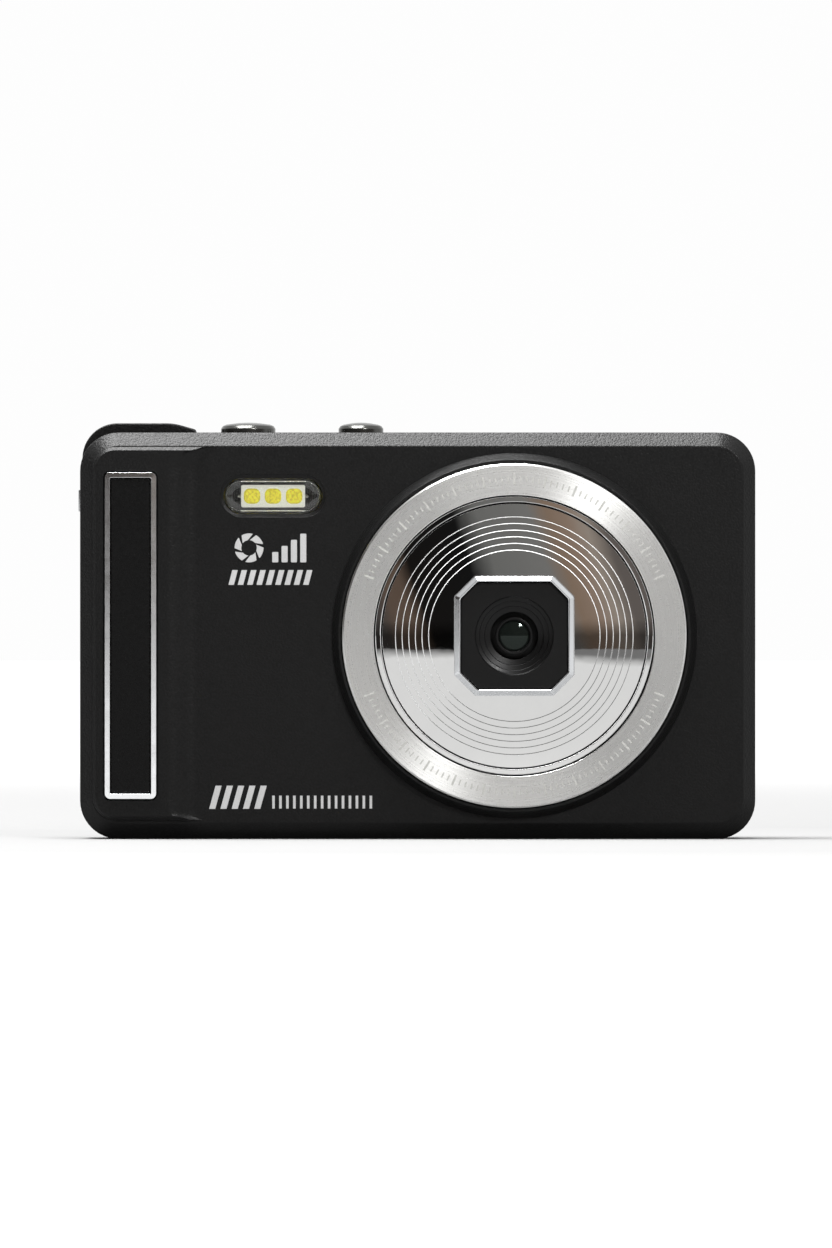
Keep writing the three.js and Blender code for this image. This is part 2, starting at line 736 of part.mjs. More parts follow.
function gripFrame() {
  const floor = -gripRise + gripPocket - layGap;
  const slope = (frameBand - frameFlat) / 2;
  const outer = loft([
    { outline: frameOutline(-slope, frameCorner), y: -gripRise - frameStand },
    { outline: frameOutline(0, frameCorner), y: -gripRise },
    { outline: frameOutline(0, frameCorner), y: floor },
  ]);
  const inner = loft([
    { outline: frameOutline(-frameBand + slope, frameInnerCorner), y: -gripRise - frameStand - 0.01 },
    { outline: frameOutline(-frameBand, frameInnerCorner), y: -gripRise },
    { outline: frameOutline(-frameBand, frameInnerCorner), y: floor + 1 },
  ]);
  return outer.subtract(inner);
}
add("grip_frame", gripFrame(), chrome);
add("grip_inlay", slab(frameOutline(-frameBand - sideGap, frameInnerCorner), -gripRise - inlayStand,
  -gripRise + gripPocket - layGap), inlayBlack);

// ---- light: a clear window, the LED strip behind it and its board

const flangeFront = wall + layGap;
const flangeBack = flangeFront + lightFlangeThickness;
add("light_window", joined([
  slab(stadium(lightX, lightZ, lightWidth, lightHeight), sideGap, flangeBack),
  slab(stadium(lightX, lightZ, lightWidth + 2 * lightFlange, lightHeight + 2 * lightFlange), flangeFront,
    flangeBack),
]), clearPlastic);
const ledFront = flangeBack + sideGap;
const ledHalf = lightWidth / 2 - ledInset;
add("led_array", box(lightX - ledHalf, lightX + ledHalf, ledFront, ledFront + ledThickness,
  lightZ - ledHeight / 2, lightZ + ledHeight / 2), phosphor);
const lightBoardFront = ledFront + ledThickness + layGap;
add("light_board", box(lightX - lightWidth / 2, lightX + lightWidth / 2, lightBoardFront,
  lightBoardFront + lightBoardThickness, lightZ - lightBoardHeight / 2, lightZ + lightBoardHeight / 2),
boardGreen);

// ---- top buttons, their switches and board

const topBoardBottom = innerTop - topBoardDrop;
const topBoardTop = topBoardBottom + boardThickness;
const switchTop = topBoardTop + layGap + switchHeight;

// A ring or disc round an upright axis. The profile lists [radius, height].
function upright(x, y, profile, sides = medium) {
  const points = profile.map(([r, z]) => new THREE.Vector2(r, z));
  return solid(new THREE.LatheGeometry(points, sides).rotateX(Math.PI / 2).translate(x, y, 0));
}

function topButton(x, radius, travel) {
  const crown = bodyHeight + buttonStand;
  const flangeTop = innerTop - sideGap;
  const flangeBottom = flangeTop - flangeThickness;
  const foot = switchTop + plungerHeight + travel + pressGap;
  return upright(x, flatMiddle, [[0, foot], [buttonPost, foot], [buttonPost, flangeBottom],
    [radius + flangeWidth, flangeBottom], [radius + flangeWidth, flangeTop], [radius, flangeTop],
    [radius, crown - buttonDome - buttonRim], [radius - buttonRim, crown - buttonDome],
    [radius * 0.55, crown - buttonDome * 0.3], [0, crown]]);
}
add("shutter_button", topButton(shutterX, shutterRadius, shutterTravel), chrome);
add("power_button", topButton(powerX, powerRadius, powerTravel), chrome);

function pressSwitch(x) {
  const half = switchWidth / 2;
  const base = box(x - half, x + half, flatMiddle - half, flatMiddle + half, topBoardTop + layGap, switchTop);
  return base.add(rod("z", x, flatMiddle, switchTop - 0.2, switchTop + plungerHeight, plungerRadius, coarse));
}
add("shutter_switch", pressSwitch(shutterX), sheetSteel);
add("power_switch", pressSwitch(powerX), sheetSteel);
const topBoardMargin = switchWidth / 2 + 1.5;
add("top_button_board", box(shutterX - topBoardMargin, powerX + topBoardMargin, flatMiddle - topBoardMargin,
  flatMiddle + topBoardMargin, topBoardBottom, topBoardTop), boardGreen);

// ---- speaker and microphone

const speakerBack = mainBoardFront - seatGap;
add("speaker", box(speakerX - speakerLength / 2, speakerX + speakerLength / 2, speakerBack - speakerDepth,
  speakerBack, innerTop - sideGap - speakerHeight, innerTop - sideGap), chipBlack);
add("microphone", rod("z", micX, flatMiddle, innerTop - sideGap - micHeight, innerTop - sideGap, micRadius),
  sheetSteel);

// ---- rear cover, the keys that pass through it and the screen that is let into it

const screenLeft = -halfWidth + screenFromLeft;
const screenRight = halfWidth - tabDepth - layGap - sideGap - trayRim + screenLedge / 2;
const screenOutline = (inset, radius) => roundedOutline(screenLeft + inset, screenRight - inset,
  screenMargin + inset, bodyHeight - screenMargin - inset, radius, 3);

const padX = -halfWidth + keysFromLeft;
const padZ = bodyHeight / 2 - navDrop;
const smallKey = (side, up) => ({ x: padX + side * smallKeySide, z: padZ + up * smallKeyRise });

// Each key: its name, where its post stands, and its outline grown by a distance.
const round = (name, x, z, radius) => ({
  name, x, z, outline: (grow) => stadium(x, z, 2 * (radius + grow), 2 * (radius + grow), keyFacets),
});
function petal(name, angle) {
  const middle = (navInner + navOuter) / 2;
  const turn = THREE.MathUtils.degToRad(angle);
  const outline = (grow) => {
    const open = navHalfAngle + THREE.MathUtils.radToDeg(grow / middle);
    return sector(padX, padZ, navInner - grow, navOuter + grow, angle, open);
  };
  return { name, x: padX + middle * Math.cos(turn), z: padZ + middle * Math.sin(turn), outline };
}
const upperOuter = smallKey(-1, 1);
const upperInner = smallKey(1, 1);
const lowerOuter = smallKey(-1, -1);
const lowerInner = smallKey(1, -1);
const keys = [
  round("ok_key", padX, padZ, okRadius),
  petal("nav_right_key", 180),
  petal("nav_left_key", 0),
  petal("nav_up_key", 90),
  petal("nav_down_key", 270),
  round("mode_key", upperOuter.x, upperOuter.z, smallKeyRadius),
  round("menu_key", upperInner.x, upperInner.z, smallKeyRadius),
  round("delete_key", lowerOuter.x, lowerOuter.z, smallKeyRadius),
  round("play_key", lowerInner.x, lowerInner.z, smallKeyRadius),
];

const rockerZ = bodyHeight - rockerFromTop;
const rockerHalf = rockerHeight / 2;
const pivotY = rearWallInside - pivotDepth;
const lugStart = rockerHalf + keyGap + 0.1;
const lugEnd = lugStart + lugThickness;

function shoulder() {
  const left = -halfWidth + shoulderInset;
  const top = bodyHeight + shoulderRise;
  const crest = left + shoulderRadius + shoulderFlat;
  const foot = crest + shoulderSlope;
  const shape = new THREE.Shape();
  shape.moveTo(foot, bodyHeight - wall);
  shape.lineTo(foot, bodyHeight - 0.05);
  const runOut = foot - shoulderSlope * 0.35;
  shape.bezierCurveTo(runOut, bodyHeight + 0.1, crest + shoulderSlope * 0.5, top, crest, top);
  shape.lineTo(left + shoulderRadius, top);
  shape.absarc(left + shoulderRadius, top - shoulderRadius, shoulderRadius, Math.PI / 2, Math.PI);
  shape.lineTo(left, bodyHeight - cornerRadius - wall);
  return slab(cleaned(shape.getPoints(5)), rearCoverStart, bodyDepth - shoulderFromRear);
}

const strapY = bodyDepth - strapFromRear;
const strapZ = bodyHeight - strapFromTop;
const strapHalf = strapHeight / 2;
const strapOuter = -halfWidth - strapStand;

function rearCover() {
  const full = bodyOutline(0, 0, 0);
  const back = bodyOutline(rearBevel, rearBevel, rearBevel);
  const shell = loft([{ outline: full, y: rearCoverStart }, { outline: full, y: bodyDepth - rearBevel },
    { outline: back, y: bodyDepth }]);
  const room = slab(bodyOutline(wall, wall, wall), rearCoverStart - 1, rearWallInside);
  const hollow = shell.add(shoulder()).subtract(room);
  const lug = (z0, z1) =>
    box(padX - lugHalf, padX + lugHalf, pivotY - lugBelow, rearWallInside + 0.5, z0, z1);
  const lugs = [
    lug(rockerZ + lugStart, rockerZ + lugEnd),
    lug(rockerZ - lugEnd, rockerZ - lugStart),
  ];
  const openings = [
    slab(screenOutline(0, screenCorner), bodyDepth - screenRecess, bodyDepth + 1),
    slab(screenOutline(screenLedge, screenCorner), rearWallInside - 1, bodyDepth),
    ...keys.map((key) => slab(key.outline(keyGap), rearWallInside - 1, bodyDepth + 1)),
    slab(stadium(padX, rockerZ, rockerWidth + 2 * rockerEndGap, rockerHeight + 2 * keyGap),
      rearWallInside - 1, bodyDepth + 1),
    rod("z", padX, pivotY, rockerZ - lugEnd - 1, rockerZ + lugEnd + 1, pivotRadius + pinBoreGap, coarse),
    box(strapOuter - 1, -halfWidth + strapPocket, strapY - strapPocketHalf, strapY + strapPocketHalf,
      strapZ - strapHalf + strapEnd, strapZ + strapHalf - strapEnd),
    box(strapOuter - 1, strapOuter + strapThickness + layGap, strapY - strapDepth / 2 - layGap,
      strapY + strapDepth / 2 + layGap, strapZ - strapHalf - layGap, strapZ + strapHalf + layGap),
  ];
  const tabs = screws.map((screw) => screwTab(screw));
  const bores = screws.map((screw) => screwRod(screw, -1, screwLength + 1, screwShank + sideGap));
  return cut(joined([hollow, ...lugs, ...tabs]), [...openings, ...bores]);
}
add("rear_cover", rearCover(), shellBlack);

const windowBack = bodyDepth - screenRecess + layGap + windowThickness;
add("screen_window", slab(screenOutline(sideGap, screenCorner), windowBack - windowThickness, windowBack),
  screenGlass);
const panelBack = rearWallInside - sideGap;
const panelOutline = (grow) => screenOutline(screenLedge / 2 - grow, screenCorner);
add("screen_panel", slab(panelOutline(0), panelBack - panelThickness, panelBack), screenGlass);
function screenTray() {
  const outside = slab(panelOutline(sideGap + trayRim), trayFront, panelBack - sideGap);
  return outside.subtract(slab(panelOutline(sideGap), trayFront + traySheet, panelBack + 1));
}
add("screen_tray", screenTray(), sheetSteel);

// ---- rear keys, rocker and key board

function rearKey({ x, z, outline }) {
  const flangeBack = rearWallInside - sideGap;
  const flangeFrontFace = flangeBack - keyFlangeThickness;
  const foot = domeTop + keyTravel + pressGap;
  return joined([
    slab(outline(0), flangeFrontFace, bodyDepth + keyStand),
    slab(outline(keyFlange), flangeFrontFace, flangeBack),
    rod("y", x, z, foot, flangeFrontFace + 0.2, keyPost, coarse),
  ]);
}
for (const key of keys) add(key.name, rearKey(key), shellBlack);

const rockerPosts = [-1, 1].map((side) => padX + side * rockerWidth / 3);
function zoomRocker() {
  const under = rearWallInside - rockerUnder;
  const reach = rockerWidth / 3 * Math.sin(THREE.MathUtils.degToRad(rockerTilt));
  const foot = domeTop + reach + pressGap;
  return joined([
    slab(stadium(padX, rockerZ, rockerWidth, rockerHeight), under, bodyDepth + rockerStand),
    box(padX - pivotRadius * 2, padX + pivotRadius * 2, pivotY - pivotRadius, under + 0.2,
      rockerZ - rockerHalf + 0.2, rockerZ + rockerHalf - 0.2),
    rod("z", padX, pivotY, rockerZ - lugEnd, rockerZ + lugEnd, pivotRadius, coarse),
    ...rockerPosts.map((x) => rod("y", x, rockerZ, foot, under + 0.2, keyPost, coarse)),
  ]);
}
add("zoom_rocker", zoomRocker(), chrome);

function rearKeyBoard() {
  const left = -innerSide + keyBoardMargin;
  const right = screenLeft + screenLedge / 2 - sideGap - trayRim - seatGap;
  const low = padZ - smallKeyRise - domeRadius - 1.5;
  const high = rockerZ + domeRadius + 0.6;
  const board = slab(roundedOutline(left, right, low, high, 2, 2), keyBoardFront, keyBoardBack);
  const spots = [...keys, ...rockerPosts.map((x) => ({ x, z: rockerZ }))];
  const domes = spots.map(({ x, z }) => rod("y", x, z, keyBoardBack - 0.1, domeTop, domeRadius, coarse,
    domeRadius * 0.6));
  return joined([board, ...domes]);
}
add("rear_key_board", rearKeyBoard(), boardGreen);

// ---- main board, its shield, the card slot with its card, and the socket for the lead

const boardLeft = bay.right + bayWall + 1;
const boardRight = halfWidth - tabDepth - swingGap;
const boardBottom = socketHeight + 0.6;
const boardTop = innerTop - boardMargin;
add("main_board", slab(roundedOutline(boardLeft, boardRight, boardBottom, boardTop, 1.5, 2), mainBoardFront,
  mainBoardBack), boardGreen);

const shieldLeft = boardLeft + 3;
add("processor_shield", slab(roundedOutline(shieldLeft, shieldLeft + shieldWidth, lensZ - shieldWidth / 2,
  lensZ + shieldWidth / 2, 1, 2), mainBoardBack + layGap, mainBoardBack + layGap + shieldHeight), sheetSteel);

const slotBack = mainBoardFront - layGap;
const slotRight = innerSide - seatGap;
function cardSlot() {
  const half = slotWidth / 2;
  const roomHalf = cardWidth / 2 + cardGap;
  const left = slotRight - slotLength;
  const front = slotBack - slotHeight;
  const shell = box(left, slotRight, front, slotBack, cardZ - half, cardZ + half);
  const room = box(left + slotSheet, slotRight + 1, front + slotSheet, slotBack - slotSheet,
    cardZ - roomHalf, cardZ + roomHalf);
  return shell.subtract(room);
}
add("card_slot", cardSlot(), sheetSteel);
const cardRight = halfWidth - cardInset;
add("memory_card", box(cardRight - cardLength, cardRight, cardDepth - cardThickness / 2,
  cardDepth + cardThickness / 2, cardZ - cardWidth / 2, cardZ + cardWidth / 2), cardBlack);

function usbConnector() {
  const mouth = halfWidth - cardInset;
  const start = mouth - usbLength;
  const shell = sideSlab(stadium(usbDepth, usbZ, usbHeight, usbWidth), start, mouth);
  const room = sideSlab(stadium(usbDepth, usbZ, usbHeight - 2 * usbShell, usbWidth - 2 * usbShell),
    start + usbShell * 2, mouth + 1);
  const tongue = box(start, mouth - 1, usbDepth - usbTongue / 2, usbDepth + usbTongue / 2,
    usbZ - usbWidth / 2 + 1.4, usbZ + usbWidth / 2 - 1.4);
  return shell.subtract(room).add(tongue);
}
add("usb_connector", usbConnector(), sheetSteel);

// ---- battery, its bay, its contacts and its door

add("battery", slab(roundedOutline(batteryLeft, batteryRight, batteryBottom, batteryTop, 1, 2), batteryFront,
  batteryBack), cellGrey);

const terminalX = (batteryLeft + batteryRight) / 2;
const terminalY = (batteryFront + batteryBack) / 2;
const terminalHalf = terminalWidth / 2;
function batteryBox() {
  const outside = box(bay.left - bayWall, bay.right + bayWall, bay.front - bayWall, bay.back + bayWall,
    bayBottom, bay.top + bayWall);
  const room = box(bay.left, bay.right, bay.front, bay.back, bayBottom - 1, bay.top);
  const window = box(terminalX - terminalHalf - seatGap, terminalX + terminalHalf + seatGap,
    terminalY - terminalDepth / 2 - seatGap, terminalY + terminalDepth / 2 + seatGap, bay.top - 1,
    bay.top + bayWall + 1);
  return cut(outside, [room, window]);
}
add("battery_box", batteryBox(), shellBlack);

function batteryContacts() {
  const half = terminalDepth / 2;
  const base = box(terminalX - terminalHalf, terminalX + terminalHalf, terminalY - half, terminalY + half,
    bay.top - 0.2, bay.top + bayWall + 1);
  const blades = [-1, 0, 1].map((place) => terminalX + place * bladePitch).map((x) =>
    box(x - bladeWidth / 2, x + bladeWidth / 2, terminalY - half * 0.7, terminalY + half * 0.7,
      batteryTop + sideGap, bay.top));
  return joined([base, ...blades]);
}
add("battery_contacts", batteryContacts(), brass);

const knuckleFront = (door.front + door.back - knuckleLength) / 2;
function batteryDoor() {
  const plateEnd = hingeX - hingeRadius - swingGap;
  const top = doorReveal + doorThickness;
  const ribFront = batteryFront + 1;
  const ribBack = batteryBack - 1;
  return joined([
    box(door.left, plateEnd, door.front, door.back, doorReveal, top),
    box(batteryLeft + 2, batteryRight - 2, ribFront, ribFront + 0.8, top - 0.1, batteryBottom - seatGap),
    box(batteryLeft + 2, batteryRight - 2, ribBack - 0.8, ribBack, top - 0.1, batteryBottom - seatGap),
    box(plateEnd - 0.1, hingeX, knuckleFront, knuckleFront + knuckleLength, doorReveal, top),
    rod("y", hingeX, hingeHeight, knuckleFront, knuckleFront + knuckleLength, hingeRadius, coarse),
  ]).subtract(rod("y", hingeX, hingeHeight, door.front, door.back, hingePin + pinBoreGap, coarse));
}
add("battery_door", batteryDoor(), shellBlack);
const pinFront = knuckleFront - seatGap - earLength;
const pinBack = knuckleFront + knuckleLength + seatGap + earLength;
add("door_pin", rod("y", hingeX, hingeHeight, pinFront, pinBack, hingePin, coarse), sheetSteel);

// ---- tripod socket, strap bar and cover screws

add("tripod_socket", rod("z", socketX, flatMiddle, doorReveal, socketHeight, socketRadius)
  .subtract(rod("z", socketX, flatMiddle, -1, socketHeight + 1, socketBore)), brass);

add("strap_bar", box(strapOuter, strapOuter + strapThickness, strapY - strapDepth / 2,
  strapY + strapDepth / 2, strapZ - strapHalf, strapZ + strapHalf), sheetSteel);

function coverScrew(screw) {
  const head = screwRod(screw, sideGap, sideGap + screwHeadHeight, screwHead);
  const shank = screwRod(screw, sideGap + 0.2, screwLength, screwShank);
  const socket = screwRod(screw, sideGap - 1, sideGap + screwHeadHeight / 2, screwHead * 0.45, 6);
  return head.add(shank).subtract(socket);
}
screws.forEach((screw, i) => add(`cover_screw_${i + 1}`, coverScrew(screw), sheetSteel));

export default camera;
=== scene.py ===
import math

import bmesh
import bpy
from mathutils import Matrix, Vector


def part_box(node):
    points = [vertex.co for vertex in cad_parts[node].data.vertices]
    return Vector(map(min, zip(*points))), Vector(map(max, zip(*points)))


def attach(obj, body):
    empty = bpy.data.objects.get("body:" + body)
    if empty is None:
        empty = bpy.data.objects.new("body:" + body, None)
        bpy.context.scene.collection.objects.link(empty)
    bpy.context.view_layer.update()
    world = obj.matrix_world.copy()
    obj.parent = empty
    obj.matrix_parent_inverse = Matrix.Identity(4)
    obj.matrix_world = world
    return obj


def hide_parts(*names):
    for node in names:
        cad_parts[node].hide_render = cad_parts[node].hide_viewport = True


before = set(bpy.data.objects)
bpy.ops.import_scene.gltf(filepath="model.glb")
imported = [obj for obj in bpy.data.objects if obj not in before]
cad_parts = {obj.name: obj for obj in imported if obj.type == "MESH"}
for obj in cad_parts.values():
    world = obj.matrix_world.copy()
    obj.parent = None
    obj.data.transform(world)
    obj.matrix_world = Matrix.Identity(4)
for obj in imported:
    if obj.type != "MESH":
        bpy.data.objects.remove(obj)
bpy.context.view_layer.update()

# ------------------------------------------------------------------------------------------------
# Front cover. One moulding of black ABS: a flat face with a sloped band round it, a raised grip pad,
# a collar round the lens and a skirt that reaches back to the parting line. The mould is spark-eroded,
# so the black is satin with a fine grain that sparkles where a lamp grazes it.

MM = 0.001
CASE_WALL = 1.8
CASE_CORNER = 6.0
BAND_SIDE = 1.95
BAND_TOP = 2.15
BAND_BOTTOM = 2.5
BAND_DEPTH = 1.9
COLLAR_RISE = 2.0
EDGE = 0.35  # radius of the moulding's outer edges
SEAM_EDGE = 0.18  # radius of the edge at the parting line
PAST = 1.0  # how far a cutter reaches past the surface that it opens


def mm(corners):
    """The lowest and the highest corner of a frame node's box, in millimetres."""
    return [corner / MM for corner in corners]


def middle(low, high, axes="xz"):
    """The middle of a box along two axes."""
    return tuple((getattr(low, axis) + getattr(high, axis)) / 2 for axis in axes)


def half_width(low, high):
    return (high.x - low.x) / 2


def bend(start, tip, end, shares):
    """Points on a curve from start to end that leans towards a tip."""
    return [start * (1 - t) ** 2 + tip * 2 * t * (1 - t) + end * t * t for t in shares]


def soften(points, radius, steps=4):
    """Rounds the corners of an open profile."""
    soft = [Vector(points[0])]
    for before, corner, after in zip(points, points[1:], points[2:]):
        corner = Vector(corner)
        back = Vector(before) - corner
        on = Vector(after) - corner
        reach = radius / math.tan(max(back.angle(on), 0.2) / 2)
        start = corner + back.normalized() * min(reach, back.length * 0.48)
        end = corner + on.normalized() * min(reach, on.length * 0.48)
        soft += bend(start, corner, end, [i / steps for i in range(steps + 1)])
    return soft + [Vector(points[-1])]


def arc(centre, radius, first, last, steps=10):
    """Points on an arc between two angles in degrees."""
    angles = [math.radians(first + (last - first) * i / steps) for i in range(steps + 1)]
    return [(centre[0] + radius * math.cos(a), centre[1] + radius * math.sin(a)) for a in angles]


def rounded_rectangle(left, right, low, high, radius, steps=8):
    """Outline of a rectangle with round corners, anticlockwise."""
    radius = min(radius, (right - left) / 2, (high - low) / 2)
    outline = arc((right - radius, low + radius), radius, -90, 0, steps)
    outline += arc((right - radius, high - radius), radius, 0, 90, steps)
    outline += arc((left + radius, high - radius), radius, 90, 180, steps)
    return outline + arc((left + radius, low + radius), radius, 180, 270, steps)


def growing(low_u, high_u, low_v, high_v, radius=None, steps=12, least=0.0):
    """A rounded rectangle, or with no radius a bar with round ends, that is called with how far to grow."""
    corner = min(high_u - low_u, high_v - low_v) / 2 if radius is None else radius
    return lambda grow: rounded_rectangle(low_u - grow, high_u + grow, low_v - grow, high_v + grow,
                                          max(corner + grow, least), steps)


def around(low, high, margin=0.0, radius=None, steps=12, least=0.0, axes="xz"):
    """The growing outline of a box seen along one axis, with a margin round it."""
    u, v = ((getattr(low, axis) - margin, getattr(high, axis) + margin) for axis in axes)
    return growing(*u, *v, radius, steps, least)


def round_at(centre, radius, steps=12):
    """The growing outline of a disc."""
    u, v = centre
    return growing(u - radius, u + radius, v - radius, v + radius, radius, steps)


def skin(name, rings, closed=False):
    """Joins loops of points into one body. Its ends are capped, or with closed it runs round."""
    shape = bmesh.new()
    loops = [[shape.verts.new([c * MM for c in point]) for point in ring] for ring in rings]
    for near, far in zip(loops, loops[1:] + loops[:1] * closed):
        for i in range(len(near)):
            j = (i + 1) % len(near)
            shape.faces.new((near[i], near[j], far[j], far[i]))
    if not closed:
        shape.faces.new(reversed(loops[0]))
        shape.faces.new(loops[-1])
    bmesh.ops.remove_doubles(shape, verts=shape.verts, dist=1e-7)
    return as_object(name, shape)


def as_object(name, shape):
    """Turns finished bmesh data into an object of the scene."""
    bmesh.ops.recalc_face_normals(shape, faces=shape.faces)
    mesh = bpy.data.meshes.new(name)
    shape.to_mesh(mesh)
    shape.free()
    body = bpy.data.objects.new(name, mesh)
    bpy.context.scene.collection.objects.link(body)
    return body


def along_x(u, v, w):
    return (w, u, v)


def along_y(u, v, w):
    return (u, w, v)


def along_z(u, v, w):
    return (u, v, w)


def prism(name, outline, profile, way=along_y, closed=False):
    """A body whose outline changes on its way: the profile lists (how far to grow, distance)."""
    return skin(name, [[way(u, v, w) for u, v in outline(grow)] for grow, w in profile], closed)


def straight(name, outline, start, end, way=along_y):
    """A body with one outline all the way."""
    return prism(name, outline, [(0, start), (0, end)], way)


def slab(name, outline, start, end, inset, edge, steps=4, way=along_y):
    """A plate with round edges; its end faces are drawn as a ring of this inset and a flat inside it."""
    profile = [(-inset, start), (0, start), (0, end), (-inset, end)]
    return prism(name, outline, soften(profile, edge, steps), way)


def block(name, low, high, edge=0.1, way=along_y):
    """A box with round edges, laid between two corners along x, y or z."""
    u, v, w = {along_x: (1, 2, 0), along_y: (0, 2, 1), along_z: (0, 1, 2)}[way]
    outline = growing(low[u], high[u], low[v], high[v], 2 * edge, 4)
    return slab(name, outline, low[w], high[w], edge, edge, 2, way)


def turned(name, profile, centre, way=along_y, sides=192):
    """A body turned on a lathe: the profile lists (radius, distance) and closes on itself or the axis."""
    spokes = [(math.cos(2 * math.pi * i / sides), math.sin(2 * math.pi * i / sides)) for i in range(sides)]
    rings = [[way(centre[0] + radius * u, centre[1] + radius * v, w) for u, v in spokes]
             for radius, w in profile]
    return skin(name, rings, closed=profile[0][0] != 0)


def rod(name, centre, radius, start, end, way=along_y, sides=64):
    """A plain round bar."""
    return turned(name, [(0, start), (radius, start), (radius, end), (0, end)], centre, way, sides)


def shape_with(body, tools, operation="DIFFERENCE"):
    """Cuts tools away from a body, or joins them to it."""
    for tool in tools:
        step = body.modifiers.new(tool.name, "BOOLEAN")
        step.operation = operation
        step.solver = "MANIFOLD"
        step.object = tool
    bpy.context.view_layer.update()
    shaped = bpy.data.meshes.new_from_object(body.evaluated_get(bpy.context.evaluated_depsgraph_get()))
    body.modifiers.clear()
    body.data = shaped
    for tool in tools:
        bpy.data.objects.remove(tool)


def crisp(body, angle):
    """Shades a body smooth up to an angle, with its flats kept flat."""
    shape = bmesh.new()
    shape.from_mesh(body.data)
    for face in shape.faces:
        face.smooth = True
    for edge in shape.edges:
        edge.smooth = len(edge.link_faces) == 2 and edge.calc_face_angle(0) < math.radians(angle)
    shape.to_mesh(body.data)
    shape.free()
    weighted = body.modifiers.new("flat faces stay flat", "WEIGHTED_NORMAL")
    weighted.keep_sharp = True


def fit(piece, material, slot, *nodes, body="casing", smooth=32):
    """Gives a piece its shading, its material, its body and the frame nodes that it stands for."""
    if smooth:
        crisp(piece, smooth)
    piece.data.materials.clear()
    piece.data.materials.append(material)
    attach(piece, body)
    if nodes:
        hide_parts(*nodes)


def linear(colour):
    """An sRGB hex colour as linear RGBA."""
    channels = [int(colour[i:i + 2], 16) / 255 for i in (1, 3, 5)]
    return tuple(c / 12.92 if c <= 0.04045 else ((c + 0.055) / 1.055) ** 2.4 for c in channels) + (1.0,)


def add(tree, kind, inputs, take=0, **settings):
    """Adds a shader node and gives one of its outputs; an input is a number, a colour or an output.
    A node without outputs closes its tree and gives nothing."""
    node = tree.nodes.new("ShaderNode" + kind)
    for name, value in settings.items():
        setattr(node, name, value)
    for name, value in inputs.items():
        if isinstance(value, bpy.types.NodeSocket):
            tree.links.new(value, node.inputs[name])
        else:
            node.inputs[name].default_value = value
    return node.outputs[take] if node.outputs else None


def begin(name):
    """An empty material, its node tree and the place on the object that its patterns follow."""
    material = bpy.data.materials.new(name)
    material.use_nodes = True
    material.node_tree.nodes.clear()
    return material, material.node_tree, add(material.node_tree, "TexCoord", {}, "Object")


def finish(material, inputs):
    """Closes a material with its shader."""
    shader = add(material.node_tree, "BsdfPrincipled", inputs)
    add(material.node_tree, "OutputMaterial", {"Surface": shader})
    return material


def math_node(tree, operation, *values, **settings):
    return add(tree, "Math", dict(enumerate(values)), operation=operation, **settings)


def vector_node(tree, operation, *values, take=0):
    return add(tree, "VectorMath", dict(enumerate(values)), take, operation=operation)


def noise(tree, place, size, detail, **more):
    """Noise with patches of about one size in millimetres."""
    return add(tree, "TexNoise", {"Vector": place, "Scale": 1 / (size * MM), "Detail": detail, **more})


def remap(tree, value, start, end, low, high, **settings):
    """A value that runs from start to end, made to run from low to high."""
    ends = {"From Min": start, "From Max": end, "To Min": low, "To Max": high}
    return add(tree, "MapRange", {"Value": value, **ends}, **settings)


def tinted(tree, colour, tone):
    """A colour made lighter or darker by a tone."""
    return add(tree, "VectorMath", {0: linear(colour)[:3], "Scale": tone}, operation="SCALE")


def bumped(tree, height, strength, depth):
    return add(tree, "Bump", {"Height": height, "Strength": strength, "Distance": depth * MM})


def moulded_abs(name, colour, roughness, grain_size, depth, sparkle=0.12, specular=0.5, glow=None):
    """Moulded ABS: a dielectric with an even spark-eroded grain and faint flow clouding. A glow is a
    colour and a strength of painted light, for a part that shines though it is no lit lamp."""
    material, tree, place = begin(name)
    grain = noise(tree, place, grain_size, 2.0)
    tone = remap(tree, noise(tree, place, 9, 3.0), 0, 1, 0.88, 1.12)
    fleck = remap(tree, grain, 0.35, 0.65, 1 - sparkle, 1 + sparkle)
    inputs = {"Base Color": tinted(tree, colour, math_node(tree, "MULTIPLY", tone, fleck)),
              "Roughness": remap(tree, grain, 0.3, 0.7, roughness - 0.05, roughness + 0.07), "IOR": 1.54,
              "Specular IOR Level": specular, "Normal": bumped(tree, grain, 0.8, depth)}
    if glow:
        inputs.update({"Emission Color": linear(glow[0]), "Emission Strength": glow[1]})
    return finish(material, inputs)


case_low, case_high = mm(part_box("front_cover"))
face_y = case_low.y + COLLAR_RISE
seam_front = case_high.y


def case_outline(inset):
    """The case seen from the front, drawn in: the sloped band is wider below and above than at the sides."""
    top = inset * BAND_TOP / BAND_SIDE
    bottom = inset * BAND_BOTTOM / BAND_SIDE
    return rounded_rectangle(case_low.x + inset, case_high.x - inset, case_low.z + bottom,
                             case_high.z - top, CASE_CORNER - inset, 12)


def even_outline(inset):
    """The same, drawn in by one distance all round."""
    return around(case_low, case_high, 0, CASE_CORNER, 8)(-inset)


shell_profile = [(BAND_SIDE + 1.2, face_y), (BAND_SIDE, face_y), (0, face_y + BAND_DEPTH),
                 (0, seam_front), (SEAM_EDGE * 2, seam_front)]
front_shell = prism("front_shell", case_outline, soften(shell_profile, EDGE))
front_room = prism("room", even_outline, [(CASE_WALL, face_y + CASE_WALL), (CASE_WALL, seam_front + PAST)])
shape_with(front_shell, [front_room])

